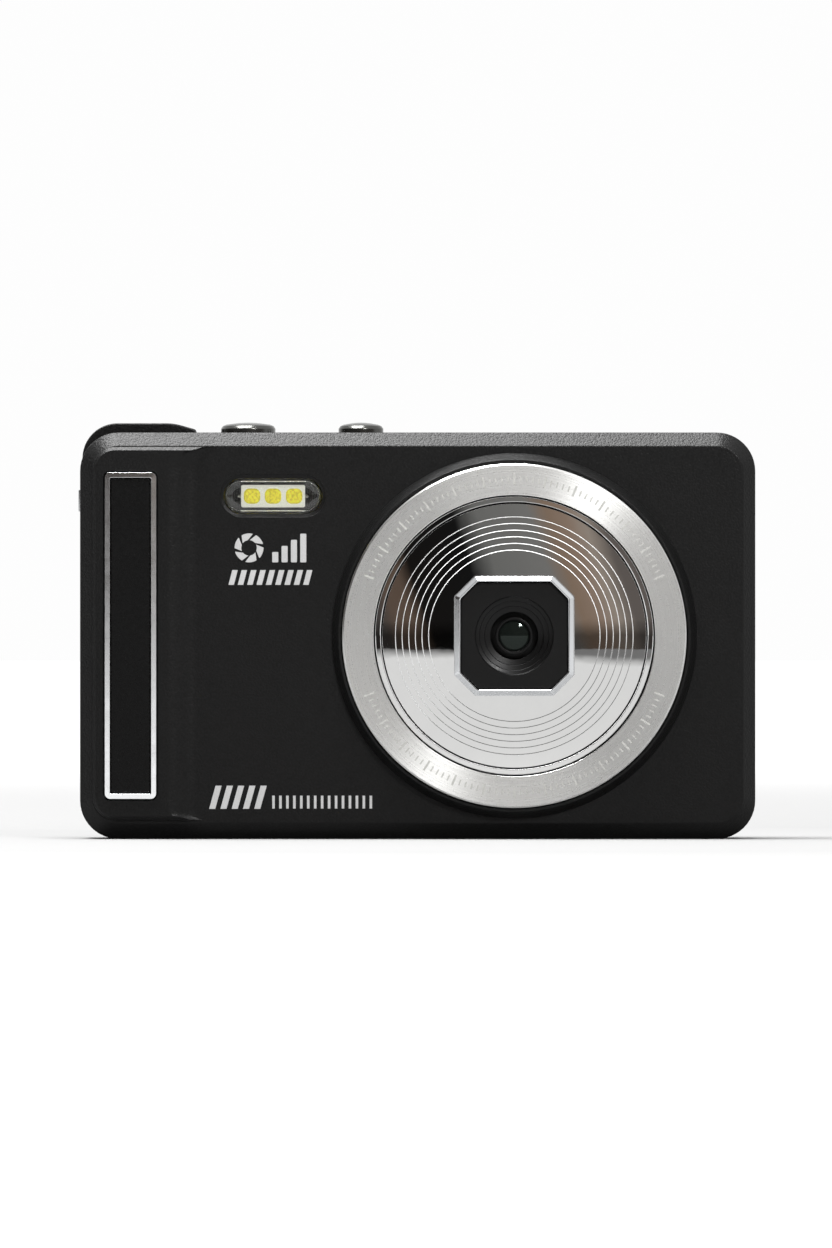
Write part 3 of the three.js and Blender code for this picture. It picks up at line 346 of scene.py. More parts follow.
# The grip pad: a 45 degree edge on three sides and a long slope towards the lens, which starts and ends
# flat; where the slope meets the upper and lower edges it flares out in a hollow curve.
PAD_RISE = 1.2
PAD_EDGE = 0.55
PAD_BEVEL = 0.5
PAD_BEVEL_ROUND = 0.12
PAD_TOP_WIDTH = 11.6
PAD_SLOPE = 4.7
PAD_CORNER = 3.0
PAD_FLARE = 3.3
PAD_FOOT_FLARE = 1.2
grip_low, grip_high = mm(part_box("grip_frame"))
pad_left = case_low.x + BAND_SIDE + 0.02
pad_right = case_low.x + BAND_SIDE + PAD_TOP_WIDTH
pad_high = case_high.z - BAND_TOP - 0.1
pad_foot = case_low.z + BAND_BOTTOM + 0.5


def pad_outline(growth, slope):
    left = pad_left + PAD_EDGE - growth
    low = pad_foot + PAD_EDGE - growth
    high = pad_high - PAD_EDGE + growth
    right = pad_right + slope
    radius = PAD_CORNER + growth
    points = arc((left + radius, low + radius), radius, 180, 270)
    points += arc((right + PAD_FOOT_FLARE, low + PAD_FOOT_FLARE), PAD_FOOT_FLARE, 270, 180, 14)
    points += arc((right + PAD_FLARE, high - PAD_FLARE), PAD_FLARE, 180, 90, 14)
    return points + arc((left + radius, high - radius), radius, 90, 180)


# Each level of the pad is how far its outline has grown and how deep it lies below the top.
turns = [math.radians(degrees) for degrees in (0, 9, 18, 27, 36, 45)]
pad_levels = [(PAD_BEVEL_ROUND * (math.sin(a) - math.tan(math.pi / 8)), PAD_BEVEL_ROUND * (1 - math.cos(a)))
              for a in turns]
bevel_start = pad_levels[-1][1]
pad_levels += [(bevel_start + (PAD_BEVEL - bevel_start) * i / 8,) * 2 for i in range(1, 9)]
pad_levels += [(PAD_BEVEL + (PAD_EDGE - PAD_BEVEL) * i / 14, PAD_BEVEL + (PAD_RISE - PAD_BEVEL) * i / 14)
               for i in range(1, 15)]
pad_rings = []
for growth, depth in pad_levels:
    slope = PAD_SLOPE * math.acos(max(-1, 1 - 2 * depth / PAD_RISE)) / math.pi
    pad_rings.append([(x, face_y - PAD_RISE + depth, z) for x, z in pad_outline(growth, slope)])
pad_rings.append([(x, face_y + CASE_WALL / 2, z) for x, _, z in pad_rings[-1]])
grip_pad = skin("grip_pad", pad_rings)

# The collar: a crest with a slope outside and a dished seat inside that the silver ring sits in.
COLLAR_WIDTH = 1.6
COLLAR_LIP = 0.45
ring_low, ring_high = mm(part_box("lens_trim_ring"))
lens_centre = middle(ring_low, ring_high)
ring_radius = half_width(ring_low, ring_high)
seat_radius = ring_radius + 0.15
foot_radius = seat_radius + COLLAR_WIDTH
collar_profile = [(seat_radius, face_y + CASE_WALL / 2), (seat_radius, case_low.y),
                  (seat_radius + COLLAR_LIP, case_low.y), (foot_radius - 0.12, face_y - 0.1),
                  (foot_radius, face_y + CASE_WALL / 2)]
collar = turned("collar", soften(collar_profile, 0.15, 3), lens_centre)

# The boss round the tripod socket, and the sizes that the battery door's hinge shares.
BOSS_WALL = 1.15
HINGE_RADIUS = 1.05
EAR_LENGTH = 1.2
SWING_GAP = 0.3
DOOR_FACE = 0.15
socket_low, socket_high = mm(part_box("tripod_socket"))
socket_centre = middle(socket_low, socket_high, "xy")
socket_radius = half_width(socket_low, socket_high)
boss = rod("boss", socket_centre, socket_radius + BOSS_WALL, CASE_WALL / 2, socket_high.z, along_z)
pin_low, pin_high = mm(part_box("door_pin"))
pin_centre = middle(pin_low, pin_high)
door_low, door_high = mm(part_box("battery_door"))
hinge_end = pin_centre[0] + HINGE_RADIUS + SWING_GAP
shape_with(front_shell, [grip_pad, collar, boss], "UNION")


def flared(name, outline, surface, deep, lip, way=along_y, inwards=1):
    """A cutter for a hole whose mouth is rounded over by a lip."""
    path = [(lip, surface - inwards * PAST)]
    for degrees in (10, 26, 42, 58, 74, 90):
        angle = math.radians(degrees)
        path.append((lip * (1 - math.sin(angle)), surface + inwards * lip * (1 - math.cos(angle))))
    return prism(name, outline, path + [(0, deep)], way)


# Holes in the face: the lens, the grip's pocket and the light. Round the light the face is dished by a
# groove, and the clear window stands in the hole inside it.
LIGHT_FLANGE = 0.9
hood_low, hood_high = mm(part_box("lens_hood"))
light_low, light_high = mm(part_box("light_window"))
inside = face_y + CASE_WALL + 0.5
light_dish = [(0.95, face_y - 0.3), (0.8, face_y + 0.12), (0.3, face_y + 0.3), (0, inside)]
lens_mouth = round_at(lens_centre, half_width(hood_low, hood_high) + 0.25)
light_mouth = around(light_low, light_high, 0.15 - LIGHT_FLANGE, None, 16)
grip_mouth = around(grip_low, grip_high, 0.15, 1.05, 8)
cuts = [flared("lens_hole", lens_mouth, face_y, inside, 0.1),
        prism("light_rim", light_mouth, soften(light_dish, 0.12)),
        flared("grip_pocket", grip_mouth, face_y - PAD_RISE, grip_high.y + 0.1, 0.15)]

# Holes in the top: two buttons, the sound holes over the speaker and one over the microphone.
BUTTON_FLANGE = 0.65
SOUND_PITCH = 2.2
top_inside = case_high.z - CASE_WALL - 0.5
for node in ("shutter_button", "power_button"):
    low, high = mm(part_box(node))
    mouth = round_at(middle(low, high, "xy"), half_width(low, high) - BUTTON_FLANGE + 0.25, 16)
    cuts.append(flared(node + "_hole", mouth, case_high.z, top_inside, 0.3, along_z, -1))
mic_x, sound_y = middle(*mm(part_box("microphone")), "xy")
speaker_x = middle(*mm(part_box("speaker")))[0]
sound_places = [(mic_x, sound_y)]
sound_places += [(speaker_x + column * SOUND_PITCH, sound_y + row * SOUND_PITCH)
                 for column in (-2, -1, 0, 1, 2) for row in (-0.5, 0.5)]
for place in sound_places:
    cuts.append(flared("sound_hole", round_at(place, 0.45, 6), case_high.z, top_inside, 0.12, along_z, -1))

# Sockets in the right side, the door's opening and the socket hole in the foot.
usb_low, usb_high = mm(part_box("usb_connector"))
card_low, card_high = mm(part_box("memory_card"))
side_inside = case_high.x - CASE_WALL - 0.5
usb_hole = around(usb_low, usb_high, 0.15, axes="yz")
card_hole = around(card_low, card_high, 0.3, 0.4, 4, axes="yz")
door_hole = growing(door_low.x - SWING_GAP, hinge_end, door_low.y - SWING_GAP,
                    door_high.y + SWING_GAP, 0.25, 4)
socket_hole = round_at(socket_centre, socket_radius + 0.12, 16)
cuts += [flared("usb_hole", usb_hole, case_high.x, side_inside, 0.35, along_x, -1),
         flared("card_hole", card_hole, case_high.x, side_inside, 0.2, along_x, -1),
         flared("door_opening", door_hole, case_low.z, CASE_WALL + 0.5, 0.15, along_z),
         flared("socket_hole", socket_hole, case_low.z, socket_high.z + PAST, 0.25, along_z)]

# Each cover screw sits in a counterbore: its head's place comes from its own box.
SCREW_HEAD = 1.5
screw_names = sorted(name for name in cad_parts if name.startswith("cover_screw"))


def screw_seat(name):
    """A screw's way in, the middle of its head across that way, the surface and which way is inwards."""
    low, high = mm(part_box(name))
    if low.z < case_low.z + 2:
        return along_z, middle(low, high, "xy"), case_low.z, 1
    if low.x + high.x > 0:
        return along_x, middle(low, high, "yz"), case_high.x, -1
    return along_x, middle(low, high, "yz"), case_low.x, 1


for name in screw_names:
    way, centre, surface, inwards = screw_seat(name)
    cuts.append(flared(name + "_seat", round_at(centre, SCREW_HEAD + 0.2, 10), surface,
                       surface + inwards * 0.85, 0.15, way, inwards))
    cuts.append(straight(name + "_hole", round_at(centre, 0.9, 6), surface - inwards * 0.2,
                         surface + inwards * (CASE_WALL + PAST), way))
shape_with(front_shell, cuts)

# The hinge's two ears stand at the ends of the pin, and the door's knuckle turns between them.
PIN_BORE = 0.6
knuckle_front = pin_low.y + EAR_LENGTH + 0.3
knuckle_back = pin_high.y - EAR_LENGTH - 0.3
root_outline = [(pin_centre[0], DOOR_FACE), (hinge_end + 0.5, DOOR_FACE), (hinge_end + 0.5, CASE_WALL),
                (pin_centre[0], CASE_WALL)]
ears = []
for start in (pin_low.y, knuckle_back + 0.3):
    ears += [rod("ear", pin_centre, HINGE_RADIUS, start, start + EAR_LENGTH, along_y, 40),
             straight("ear_root", lambda grow: root_outline, start, start + EAR_LENGTH)]
shape_with(front_shell, ears, "UNION")
pin_bore = rod("pin_bore", pin_centre, PIN_BORE, pin_low.y - PAST, pin_high.y + PAST, along_y, 32)
shape_with(front_shell, [pin_bore])

satin_black_abs = moulded_abs("satin_black_abs", "#101010", 0.36, 0.32, 0.09, 0.2, 0.14)
fit(front_shell, satin_black_abs, "shell_plastic", "front_cover")

# ------------------------------------------------------------------------------------------------
# Rear cover. The second moulding of the same black ABS closes the case from behind. It carries the
# thumb shoulder, the screen's recess, the openings for the keys, the rocker's two lugs and the six
# tabs that the screws bite into.

REAR_BEVEL = 1.6
SEAM = 0.3
SHOULDER_RADIUS = 5.5
SHOULDER_FLAT = 7.5
SHOULDER_SLOPE = 4.8
SHOULDER_INSET = 0.1
SHOULDER_BACK = 1.4
rear_low, rear_high = mm(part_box("rear_cover"))
rear_y = rear_high.y
seam_back = seam_front + SEAM
rear_wall = rear_y - CASE_WALL
rear_profile = [(SEAM_EDGE * 2, seam_back), (0, seam_back), (0, rear_y - REAR_BEVEL), (REAR_BEVEL, rear_y),
                (REAR_BEVEL + 1.2, rear_y)]
rear_shell = prism("rear_shell", even_outline, soften(rear_profile, EDGE))


def shoulder_outline(inset):
    """The hump over the left corner: round at its outside, falling in an easy curve to a low step."""
    left = case_low.x + SHOULDER_INSET + inset
    top = rear_high.z - inset
    base = case_high.z - inset
    crest = left - inset + SHOULDER_RADIUS + SHOULDER_FLAT
    foot = crest + SHOULDER_SLOPE
    radius = SHOULDER_RADIUS - inset
    points = [(foot, case_high.z - CASE_WALL), (foot, base + 0.3), (foot - 0.12, base + 0.6)]
    end = Vector((foot - 0.5, base + 0.75))
    pull = end + Vector((-0.3 * SHOULDER_SLOPE, 0.35))
    for i in range(25):
        t = i / 24
        points.append(tuple(end * (1 - t) ** 3 + pull * 3 * t * (1 - t) ** 2
                            + Vector((crest + 0.4 * SHOULDER_SLOPE, top)) * 3 * t * t * (1 - t)
                            + Vector((crest, top)) * t ** 3))
    points += arc((left + radius, top - radius), radius, 90, 180, 12)
    return points + [(left, case_high.z - CASE_CORNER - CASE_WALL)]


shoulder_end = rear_y - SHOULDER_BACK
shoulder_profile = [(1.0, seam_back), (0, seam_back), (0, shoulder_end), (1.0, shoulder_end)]
shoulder = prism("shoulder", shoulder_outline, soften(shoulder_profile, 0.3))
shape_with(rear_shell, [shoulder], "UNION")
rear_room = prism("room", even_outline, [(CASE_WALL, seam_back - PAST), (CASE_WALL, rear_wall)])
shape_with(rear_shell, [rear_room])

# Six tabs reach forwards inside the wall, each with the bore that its screw bites into.
TAB_ROOT = 0.35
TAB_THICK = 2.4
TAB_HALF = 2.5
TAB_HOLD = 1.2
tab_near = CASE_WALL + TAB_ROOT
tab_far = tab_near + TAB_THICK
additions = []
bores = []
for name in screw_names:
    way, (across, along), surface, inwards = screw_seat(name)
    for reach, front in ((tab_near, rear_low.y), (CASE_WALL / 2, seam_back)):
        back = seam_back + TAB_HOLD
        start, end = sorted((surface + inwards * reach, surface + inwards * tab_far))
        if way is along_z:
            corners = (across - TAB_HALF, front, start), (across + TAB_HALF, back, end)
        else:
            corners = (start, front, along - TAB_HALF), (end, back, along + TAB_HALF)
        additions.append(block(name + "_tab", *corners))
    bores.append(straight(name + "_bore", round_at((across, along), 0.85, 6), surface - inwards * PAST,
                          surface + inwards * (tab_far + PAST), way))

ROCKER_HEIGHT = 5.4
KEY_GAP = 0.25
PIVOT_RADIUS = 0.5
PIVOT_DEPTH = 1.2
LUG_THICK = 1.2
LUG_HALF = 1.3
rocker_low, rocker_high = mm(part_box("zoom_rocker"))
rocker_x, rocker_z = middle(rocker_low, rocker_high)
pivot_y = rear_wall - PIVOT_DEPTH
lug_start = ROCKER_HEIGHT / 2 + KEY_GAP + 0.1
lug_end = lug_start + LUG_THICK
for side in (-1, 1):
    near, far = sorted((rocker_z + side * lug_start, rocker_z + side * lug_end))
    additions.append(block("rocker_lug", (rocker_x - LUG_HALF, pivot_y - 0.9, near),
                           (rocker_x + LUG_HALF, rear_wall + 0.5, far)))
shape_with(rear_shell, additions, "UNION")

# Openings: the screen's recess with a ledge round the glass, one hole for each key, the rocker's
# slot and the pocket behind the strap bar.
WINDOW_GAP = 0.15
SCREEN_CORNER = 1.5
SCREEN_LEDGE = 1.5
SCREEN_RECESS = 1.1
window_low, window_high = mm(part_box("screen_window"))
window_outline = around(window_low, window_high, 0, SCREEN_CORNER, 8)
ledge = WINDOW_GAP - SCREEN_LEDGE
holes = [flared("screen_recess", lambda grow: window_outline(WINDOW_GAP + grow), rear_y,
                rear_y - SCREEN_RECESS, 0.3, along_y, -1),
         prism("screen_opening", window_outline, [(ledge, rear_wall - PAST), (ledge, rear_y)])]

KEY_FLANGE = 0.45
NAV_INNER = 5.4
NAV_OUTER = 10.4
NAV_HALF_ANGLE = math.radians(37)
NAV_CORNER = 0.7
NAV_MIDDLE = (NAV_INNER + NAV_OUTER) / 2
NAV_ANGLES = {"nav_left_key": 0, "nav_up_key": math.pi / 2, "nav_right_key": math.pi,
              "nav_down_key": 1.5 * math.pi}
pad_centre = middle(*mm(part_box("ok_key")))


def petal(direction):
    """The growing outline of a direction key: a piece of a ring with round corners, about an angle."""

    def outline(grow):
        inner = NAV_INNER - grow
        outer = NAV_OUTER + grow
        half = NAV_HALF_ANGLE + grow / NAV_MIDDLE
        corner = max(NAV_CORNER + grow, 0.15)
        at = lambda radius, turn: Vector((pad_centre[0] + radius * math.cos(direction + turn),
                                          pad_centre[1] + radius * math.sin(direction + turn)))
        points = []
        for radius, other, sign in ((outer, inner, 1), (inner, outer, -1)):
            reach = half - corner / radius
            side = sign * half
            points += [at(radius, sign * (-reach + 2 * reach * i / 16)) for i in range(17)]
            points += bend(points[-1], at(radius, side), at(radius - sign * corner, side),
                           (0.2, 0.4, 0.6, 0.8, 1.0))
            points += bend(at(other + sign * corner, side), at(other, side),
                           at(other, sign * (half - corner / other)), (0, 0.2, 0.4, 0.6, 0.8))
        return [tuple(point) for point in points]

    return outline


key_outlines = {name: petal(direction) for name, direction in NAV_ANGLES.items()}
for name in ("ok_key", "mode_key", "menu_key", "delete_key", "play_key"):
    low, high = mm(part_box(name))
    key_outlines[name] = round_at(middle(low, high), half_width(low, high) - KEY_FLANGE)
for name, outline in key_outlines.items():
    hole = lambda grow: outline(KEY_GAP + grow)
    holes.append(flared(name + "_hole", hole, rear_y, rear_wall - PAST, 0.25, along_y, -1))
rocker_foot = rocker_z - ROCKER_HEIGHT / 2
rocker_head = rocker_z + ROCKER_HEIGHT / 2
rocker_outline = growing(rocker_low.x, rocker_high.x, rocker_foot, rocker_head, None, 14)
rocker_hole = growing(rocker_low.x - 0.45, rocker_high.x + 0.45, rocker_foot - KEY_GAP,
                      rocker_head + KEY_GAP, None, 14)
holes.append(flared("rocker_hole", rocker_hole, rear_y, rear_wall - PAST, 0.3, along_y, -1))
holes.append(straight("rocker_bore", round_at((rocker_x, pivot_y), PIVOT_RADIUS + 0.1, 6), rocker_z - 8,
                      rocker_z + 8, along_z))

STRAP_POCKET = 1.2
STRAP_POCKET_HALF = 1.5
STRAP_END = 0.5
STRAP_GAP = 0.1
bar_low, bar_high = mm(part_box("strap_bar"))
bar_y = (bar_low.y + bar_high.y) / 2
pocket_outline = growing(bar_y - STRAP_POCKET_HALF, bar_y + STRAP_POCKET_HALF, bar_low.z + STRAP_END,
                         bar_high.z - STRAP_END, 0.5, 6)
holes.append(flared("strap_pocket", pocket_outline, case_low.x, case_low.x + STRAP_POCKET, 0.15, along_x))
holes.append(block("strap_seat", (case_low.x - 2, bar_low.y - STRAP_GAP, bar_low.z - STRAP_GAP),
                   bar_high + Vector((STRAP_GAP,) * 3), 0.08, along_x))

# A tongue inside the wall reaches over the parting line, so that no light passes through it.
TONGUE_GAP = 0.1
TONGUE_THICK = 0.5
TONGUE_REACH = 0.5
tongue_front = seam_front - TONGUE_REACH
tongue_back = seam_back + 0.5
tongue_profile = [(CASE_WALL + TONGUE_THICK, tongue_back), (CASE_WALL + TONGUE_THICK, tongue_front),
                  (CASE_WALL + TONGUE_GAP, tongue_front), (CASE_WALL + TONGUE_GAP, seam_front + SEAM / 2),
                  (CASE_WALL - TONGUE_GAP, tongue_back)]
shape_with(rear_shell, [prism("tongue", even_outline, tongue_profile, closed=True)], "UNION")
shape_with(rear_shell, holes + bores)
fit(rear_shell, satin_black_abs, "shell_plastic", "rear_cover")

# ------------------------------------------------------------------------------------------------
# Rings round the lens. The broad ring is turned from aluminium and left satin, so that its tool marks
# spread a lamp into two bright wedges; a narrow second ring, polished and plated like the disc, stands
# inside it.

RING_WIDTH = 4.9
RING_CHAMFER = 0.26
INNER_RING_WIDTH = 0.85


def turned_metal(name, colour, roughness, pitch, centre, anisotropy):
    """Lathe-turned metal: fine concentric tool marks round a centre stretch each highlight across them."""
    material, tree, place = begin(name)
    out = vector_node(tree, "SUBTRACT", place, (centre[0] * MM, 0, centre[1] * MM))
    flat = vector_node(tree, "MULTIPLY", out, (1, 0, 1))
    radius = vector_node(tree, "LENGTH", flat, take="Value")
    groove = add(tree, "TexNoise", {"W": radius, "Scale": 1 / (pitch * MM), "Detail": 3.0},
                 noise_dimensions="1D")
    mixed = math_node(tree, "ADD", groove, noise(tree, place, 0.12, 2.0))
    return finish(material, {
        "Base Color": tinted(tree, colour, remap(tree, mixed, 0.7, 1.3, 0.9, 1.06)), "Metallic": 1.0,
        "Roughness": remap(tree, mixed, 0.7, 1.3, roughness - 0.04, roughness + 0.05),
        "Anisotropic": anisotropy, "Tangent": vector_node(tree, "NORMALIZE", flat),
        "Normal": bumped(tree, groove, 0.35, 0.004)})


satin_turned_aluminium = turned_metal("satin_turned_aluminium", "#DCDCDA", 0.3, 0.16, lens_centre, 0.85)
ring_inner = ring_radius - RING_WIDTH
ring_profile = [(ring_inner, ring_high.y), (ring_inner, ring_low.y), (ring_radius - RING_CHAMFER, ring_low.y),
                (ring_radius, ring_low.y + RING_CHAMFER), (ring_radius, ring_high.y)]
trim_ring = turned("trim_ring", soften(ring_profile, 0.12, 3), lens_centre, along_y, 256)
fit(trim_ring, satin_turned_aluminium, "satin_aluminium", "lens_trim_ring")

inner_low, inner_high = mm(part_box("lens_inner_ring"))
inner_radius = half_width(inner_low, inner_high)
inner_bore = inner_radius - INNER_RING_WIDTH
inner_profile = [(inner_bore, inner_high.y), (inner_bore, inner_low.y), (inner_radius, inner_low.y),
                 (inner_radius, inner_high.y)]
inner_ring = turned("inner_ring", soften(inner_profile, 0.12, 3), lens_centre, along_y, 256)

# ------------------------------------------------------------------------------------------------
# Mirror disc. Polished and plated aluminium, turned in six fine steps towards the middle, each with a
# softened edge that catches a line of light, and an eight-sided mouth for the lens. The steep walls of
# the steps also carry painted light: a painted highlight above and painted shade below.

OCTAGON_BAND = 0.95
OCTAGON_CUT = 3.25
OCTAGON_SHARE = 2 - math.sqrt(2)
OCTAGON_ROUND = 0.25
DISC_STEP = 0.2
DISC_STEPS = 6
DISC_FIRST_BAND = 2.0
DISC_PITCH = 1.03
DISC_RUN = 0.09
bezel_low, bezel_high = mm(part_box("octagon_bezel"))
bezel_half = half_width(bezel_low, bezel_high)


def octagon(inset):
    """The bezel's outline drawn in, with slightly rounded corners."""
    half = bezel_half - inset
    far = half - OCTAGON_CUT + inset * OCTAGON_SHARE
    corners = [Vector((lens_centre[0] + x, lens_centre[1] + z)) for x, z in (
        (-far, -half), (far, -half), (half, -far), (half, far), (far, half), (-far, half), (-half, far),
        (-half, -far))]
    points = []
    for i, corner in enumerate(corners):
        back = (corners[i - 1] - corner).normalized() * OCTAGON_ROUND
        on = (corners[(i + 1) % 8] - corner).normalized() * OCTAGON_ROUND
        points += bend(corner + back, corner, corner + on, (0, 0.25, 0.5, 0.75, 1.0))
    return [tuple(point) for point in points]


disc_low, disc_high = mm(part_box("lens_disc"))
disc_radius = half_width(disc_low, disc_high)
disc_front = disc_low.y + DISC_STEPS * DISC_STEP
disc_profile = [(0, disc_high.y), (disc_radius, disc_high.y), (disc_radius, disc_front)]
for i in range(DISC_STEPS):
    radius = disc_radius - DISC_FIRST_BAND - i * DISC_PITCH
    level = disc_front - i * DISC_STEP
    disc_profile += [(radius, level), (radius - DISC_RUN, level - DISC_STEP)]
disc_profile.append((0, disc_low.y))
mirror_disc = turned("mirror_disc", soften(disc_profile, 0.035, 3), lens_centre, along_y, 256)
mouth_ends = [(OCTAGON_BAND, disc_low.y - PAST), (OCTAGON_BAND, disc_high.y + PAST)]
shape_with(mirror_disc, [prism("disc_mouth", octagon, mouth_ends)])


def plated(name, colour, roughness, ripple_size=2.5, ripple=0.0006, haziness=0.035, painted_walls=False):
    """Bright plating: a clear mirror with a faint ripple, hairline wear and a trace of haze.
    With painted walls, the steep walls between its steps turn rougher and less metallic and take a
    painted colour: a painted highlight where they face up towards the lamp, painted shade below."""
    material, tree, place = begin(name)
    haze = noise(tree, place, 3.5, 5.0, Roughness=0.7)
    body = tinted(tree, colour, remap(tree, haze, 0, 1, 1.03, 0.95))
    gloss = remap(tree, haze, 0.35, 0.75, roughness, roughness + haziness)
    metal = 1.0
    if painted_walls:
        normal = add(tree, "NewGeometry", {}, "Normal")
        steep = remap(tree, add(tree, "SeparateXYZ", {"Vector": normal}, "Y"), -0.97, -0.85, 0, 1)
        # Painted light: a steep wall's colour is a painted highlight where it faces up towards the lamp and
        # painted shade where it faces down.
        towards = vector_node(tree, "DOT_PRODUCT", normal, (-0.35, 0.0, 0.94), take="Value")
        painted_wall_tone = remap(tree, towards, -0.42, -0.3, 0.15, 1.0)
        body = add(tree, "Mix", {"Factor": steep, "A": body, "B": painted_wall_tone}, "Result", data_type="RGBA")
        gloss = remap(tree, steep, 0, 1, 0.004, 0.3)
        metal = remap(tree, steep, 0, 1, 1.0, 0.2)
    return finish(material, {"Base Color": body, "Metallic": metal, "Roughness": gloss,
                             "Normal": bumped(tree, noise(tree, place, ripple_size, 1.0), 0.3, ripple)})


# Its step walls, and those of the inner ring, carry the painted highlight and painted shade.
polished_mirror_plate = plated("polished_mirror_plate", "#D0D0CF", 0.0, 2.5, 0.0004, 0.012, True)
fit(mirror_disc, polished_mirror_plate, "mirror_aluminium", "lens_disc", smooth=4)
fit(inner_ring, polished_mirror_plate, "satin_aluminium", "lens_inner_ring", smooth=4)

# ------------------------------------------------------------------------------------------------
# Octagon bezel. A chromed frame with a narrow flat crest and a long outer slope, pressed round the
# mouth of the disc and glued down.

BEZEL_FLAT = 0.2
BEZEL_LIFT = 0.03  # how far the slope's foot stays behind the disc's face
bezel_profile = [(OCTAGON_BAND, bezel_high.y), (OCTAGON_BAND, bezel_low.y),
                 (OCTAGON_BAND - BEZEL_FLAT, bezel_low.y), (0, disc_low.y + BEZEL_LIFT), (0, bezel_high.y)]
bezel = prism("bezel", octagon, soften(bezel_profile, 0.07, 3), closed=True)
bright_chrome_plate = plated("bright_chrome_plate", "#DADCDE", 0.05)
fit(bezel, bright_chrome_plate, "bright_chrome", "octagon_bezel", smooth=25)

# ------------------------------------------------------------------------------------------------
# Lens module. The black hood has four stepped rings that keep stray light off the front element; the
# barrel screws into a holder over the sensor. Hood and barrel are matte black polycarbonate.

HOOD_INSET = OCTAGON_BAND + 0.15
HOOD_RADII = (6.0, 5.4, 4.6, 3.7)
HOOD_STEP = 0.75
NOSE_RADIUS = 2.85
NOSE_WALL = 0.4
LENS_BULGE = 0.5
flange_front = face_y + 0.1
hood_plate = prism("hood_plate", octagon, soften([(HOOD_INSET + 1, hood_low.y), (HOOD_INSET, hood_low.y),
                                                  (HOOD_INSET, flange_front + 0.1)], 0.12))
hood_radius = half_width(hood_low, hood_high)
hood_ring = rod("hood_ring", lens_centre, hood_radius, flange_front, hood_high.y, along_y, 96)
shape_with(hood_plate, [hood_ring], "UNION")
mouth_profile = [(0, hood_low.y - PAST), (HOOD_RADII[0] + 0.15, hood_low.y - PAST),
                 (HOOD_RADII[0] + 0.15, hood_low.y)]
for i, radius in enumerate(HOOD_RADII):
    mouth_profile += [(radius, hood_low.y + i * HOOD_STEP + 0.15), (radius, hood_low.y + (i + 1) * HOOD_STEP)]
mouth_profile[-1:] = [(HOOD_RADII[-1], hood_high.y + PAST), (0, hood_high.y + PAST)]
hood_mouth = turned("hood_mouth", soften(mouth_profile, 0.1, 3), lens_centre, along_y, 128)
shape_with(hood_plate, [hood_mouth])
matte_black_polycarbonate = moulded_abs("matte_black_polycarbonate", "#0C0C0C", 0.34, 0.15, 0.006, 0.08, 0.18)
fit(hood_plate, matte_black_polycarbonate, "hood_plastic", "lens_hood")

barrel_low, barrel_high = mm(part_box("lens_barrel"))
barrel_radius = half_width(barrel_low, barrel_high)
barrel_shoulder = hood_high.y + 0.3
nose_bore = NOSE_RADIUS - NOSE_WALL
lens_seat = barrel_low.y + 1.1
barrel_profile = [(nose_bore, barrel_low.y + 0.12), (nose_bore + 0.12, barrel_low.y),
                  (NOSE_RADIUS, barrel_low.y), (NOSE_RADIUS, barrel_shoulder),
                  (barrel_radius, barrel_shoulder), (barrel_radius, barrel_high.y),
                  (barrel_radius - 1, barrel_high.y), (barrel_radius - 1, barrel_shoulder + 1),
                  (nose_bore - NOSE_WALL, barrel_shoulder + 1), (nose_bore - NOSE_WALL, lens_seat),
                  (nose_bore, lens_seat)]
barrel = turned("barrel", soften(barrel_profile, 0.06, 2), lens_centre, along_y, 128)
fit(barrel, matte_black_polycarbonate, "hood_plastic", "lens_barrel")


def coated_glass(name, tint, colour, through):
    """Coated lens glass: sharp, faintly tinted reflections over its depth, with specks of dust."""
    material, tree, place = begin(name)
    dust = noise(tree, place, 0.3, 4.0)
    return finish(material, {"Base Color": linear(colour), "IOR": 1.6, "Transmission Weight": through,
                             "Roughness": remap(tree, dust, 0.6, 0.8, 0.01, 0.09),
                             "Specular Tint": linear(tint), "Specular IOR Level": 0.26})


coated_lens_glass = coated_glass("coated_lens_glass", "#C9D8D0", "#151917", 0.0)
front_low, front_high = mm(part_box("front_lens"))
front_radius = half_width(front_low, front_high)
front_profile = [(front_radius * i / 20, front_low.y + LENS_BULGE * (i / 20) ** 2) for i in range(21)]
front_profile += [(front_radius, front_high.y), (0, front_high.y)]
front_element = turned("front_element", front_profile, lens_centre, along_y, 96)
fit(front_element, coated_lens_glass, "lens_glass", "front_lens")
inner_glass = coated_glass("inner_glass", "#B9D2C4", "#8FA39A", 0.6)
filter_glass = coated_glass("filter_glass", "#C8A8B4", "#6E5A66", 0.5)

# ------------------------------------------------------------------------------------------------
# Grip frame and inlay. A die-cast frame, chromed, with a broad flat crest that falls slightly outwards
# and a steep wall to each side, is let into the pad; a gloss black ABS strip lies inside it.

FRAME_BAND = 0.9
FRAME_CREST = 0.76
FRAME_CORNER = 0.9
FRAME_STAND = 0.45
FRAME_FALL = 0.008


def held(path, hold):
    """A closed path with a point added near both ends of each long stretch, so that flats stay flat."""
    points = []
    for i, here in enumerate(path):
        after = Vector(path[(i + 1) % len(path)])
        points.append(here)
        step = after - Vector(here)
        if step.length > 4 * hold:
            nudge = step.normalized() * hold
            points += [tuple(Vector(here) + nudge), tuple(after - nudge)]
    return points


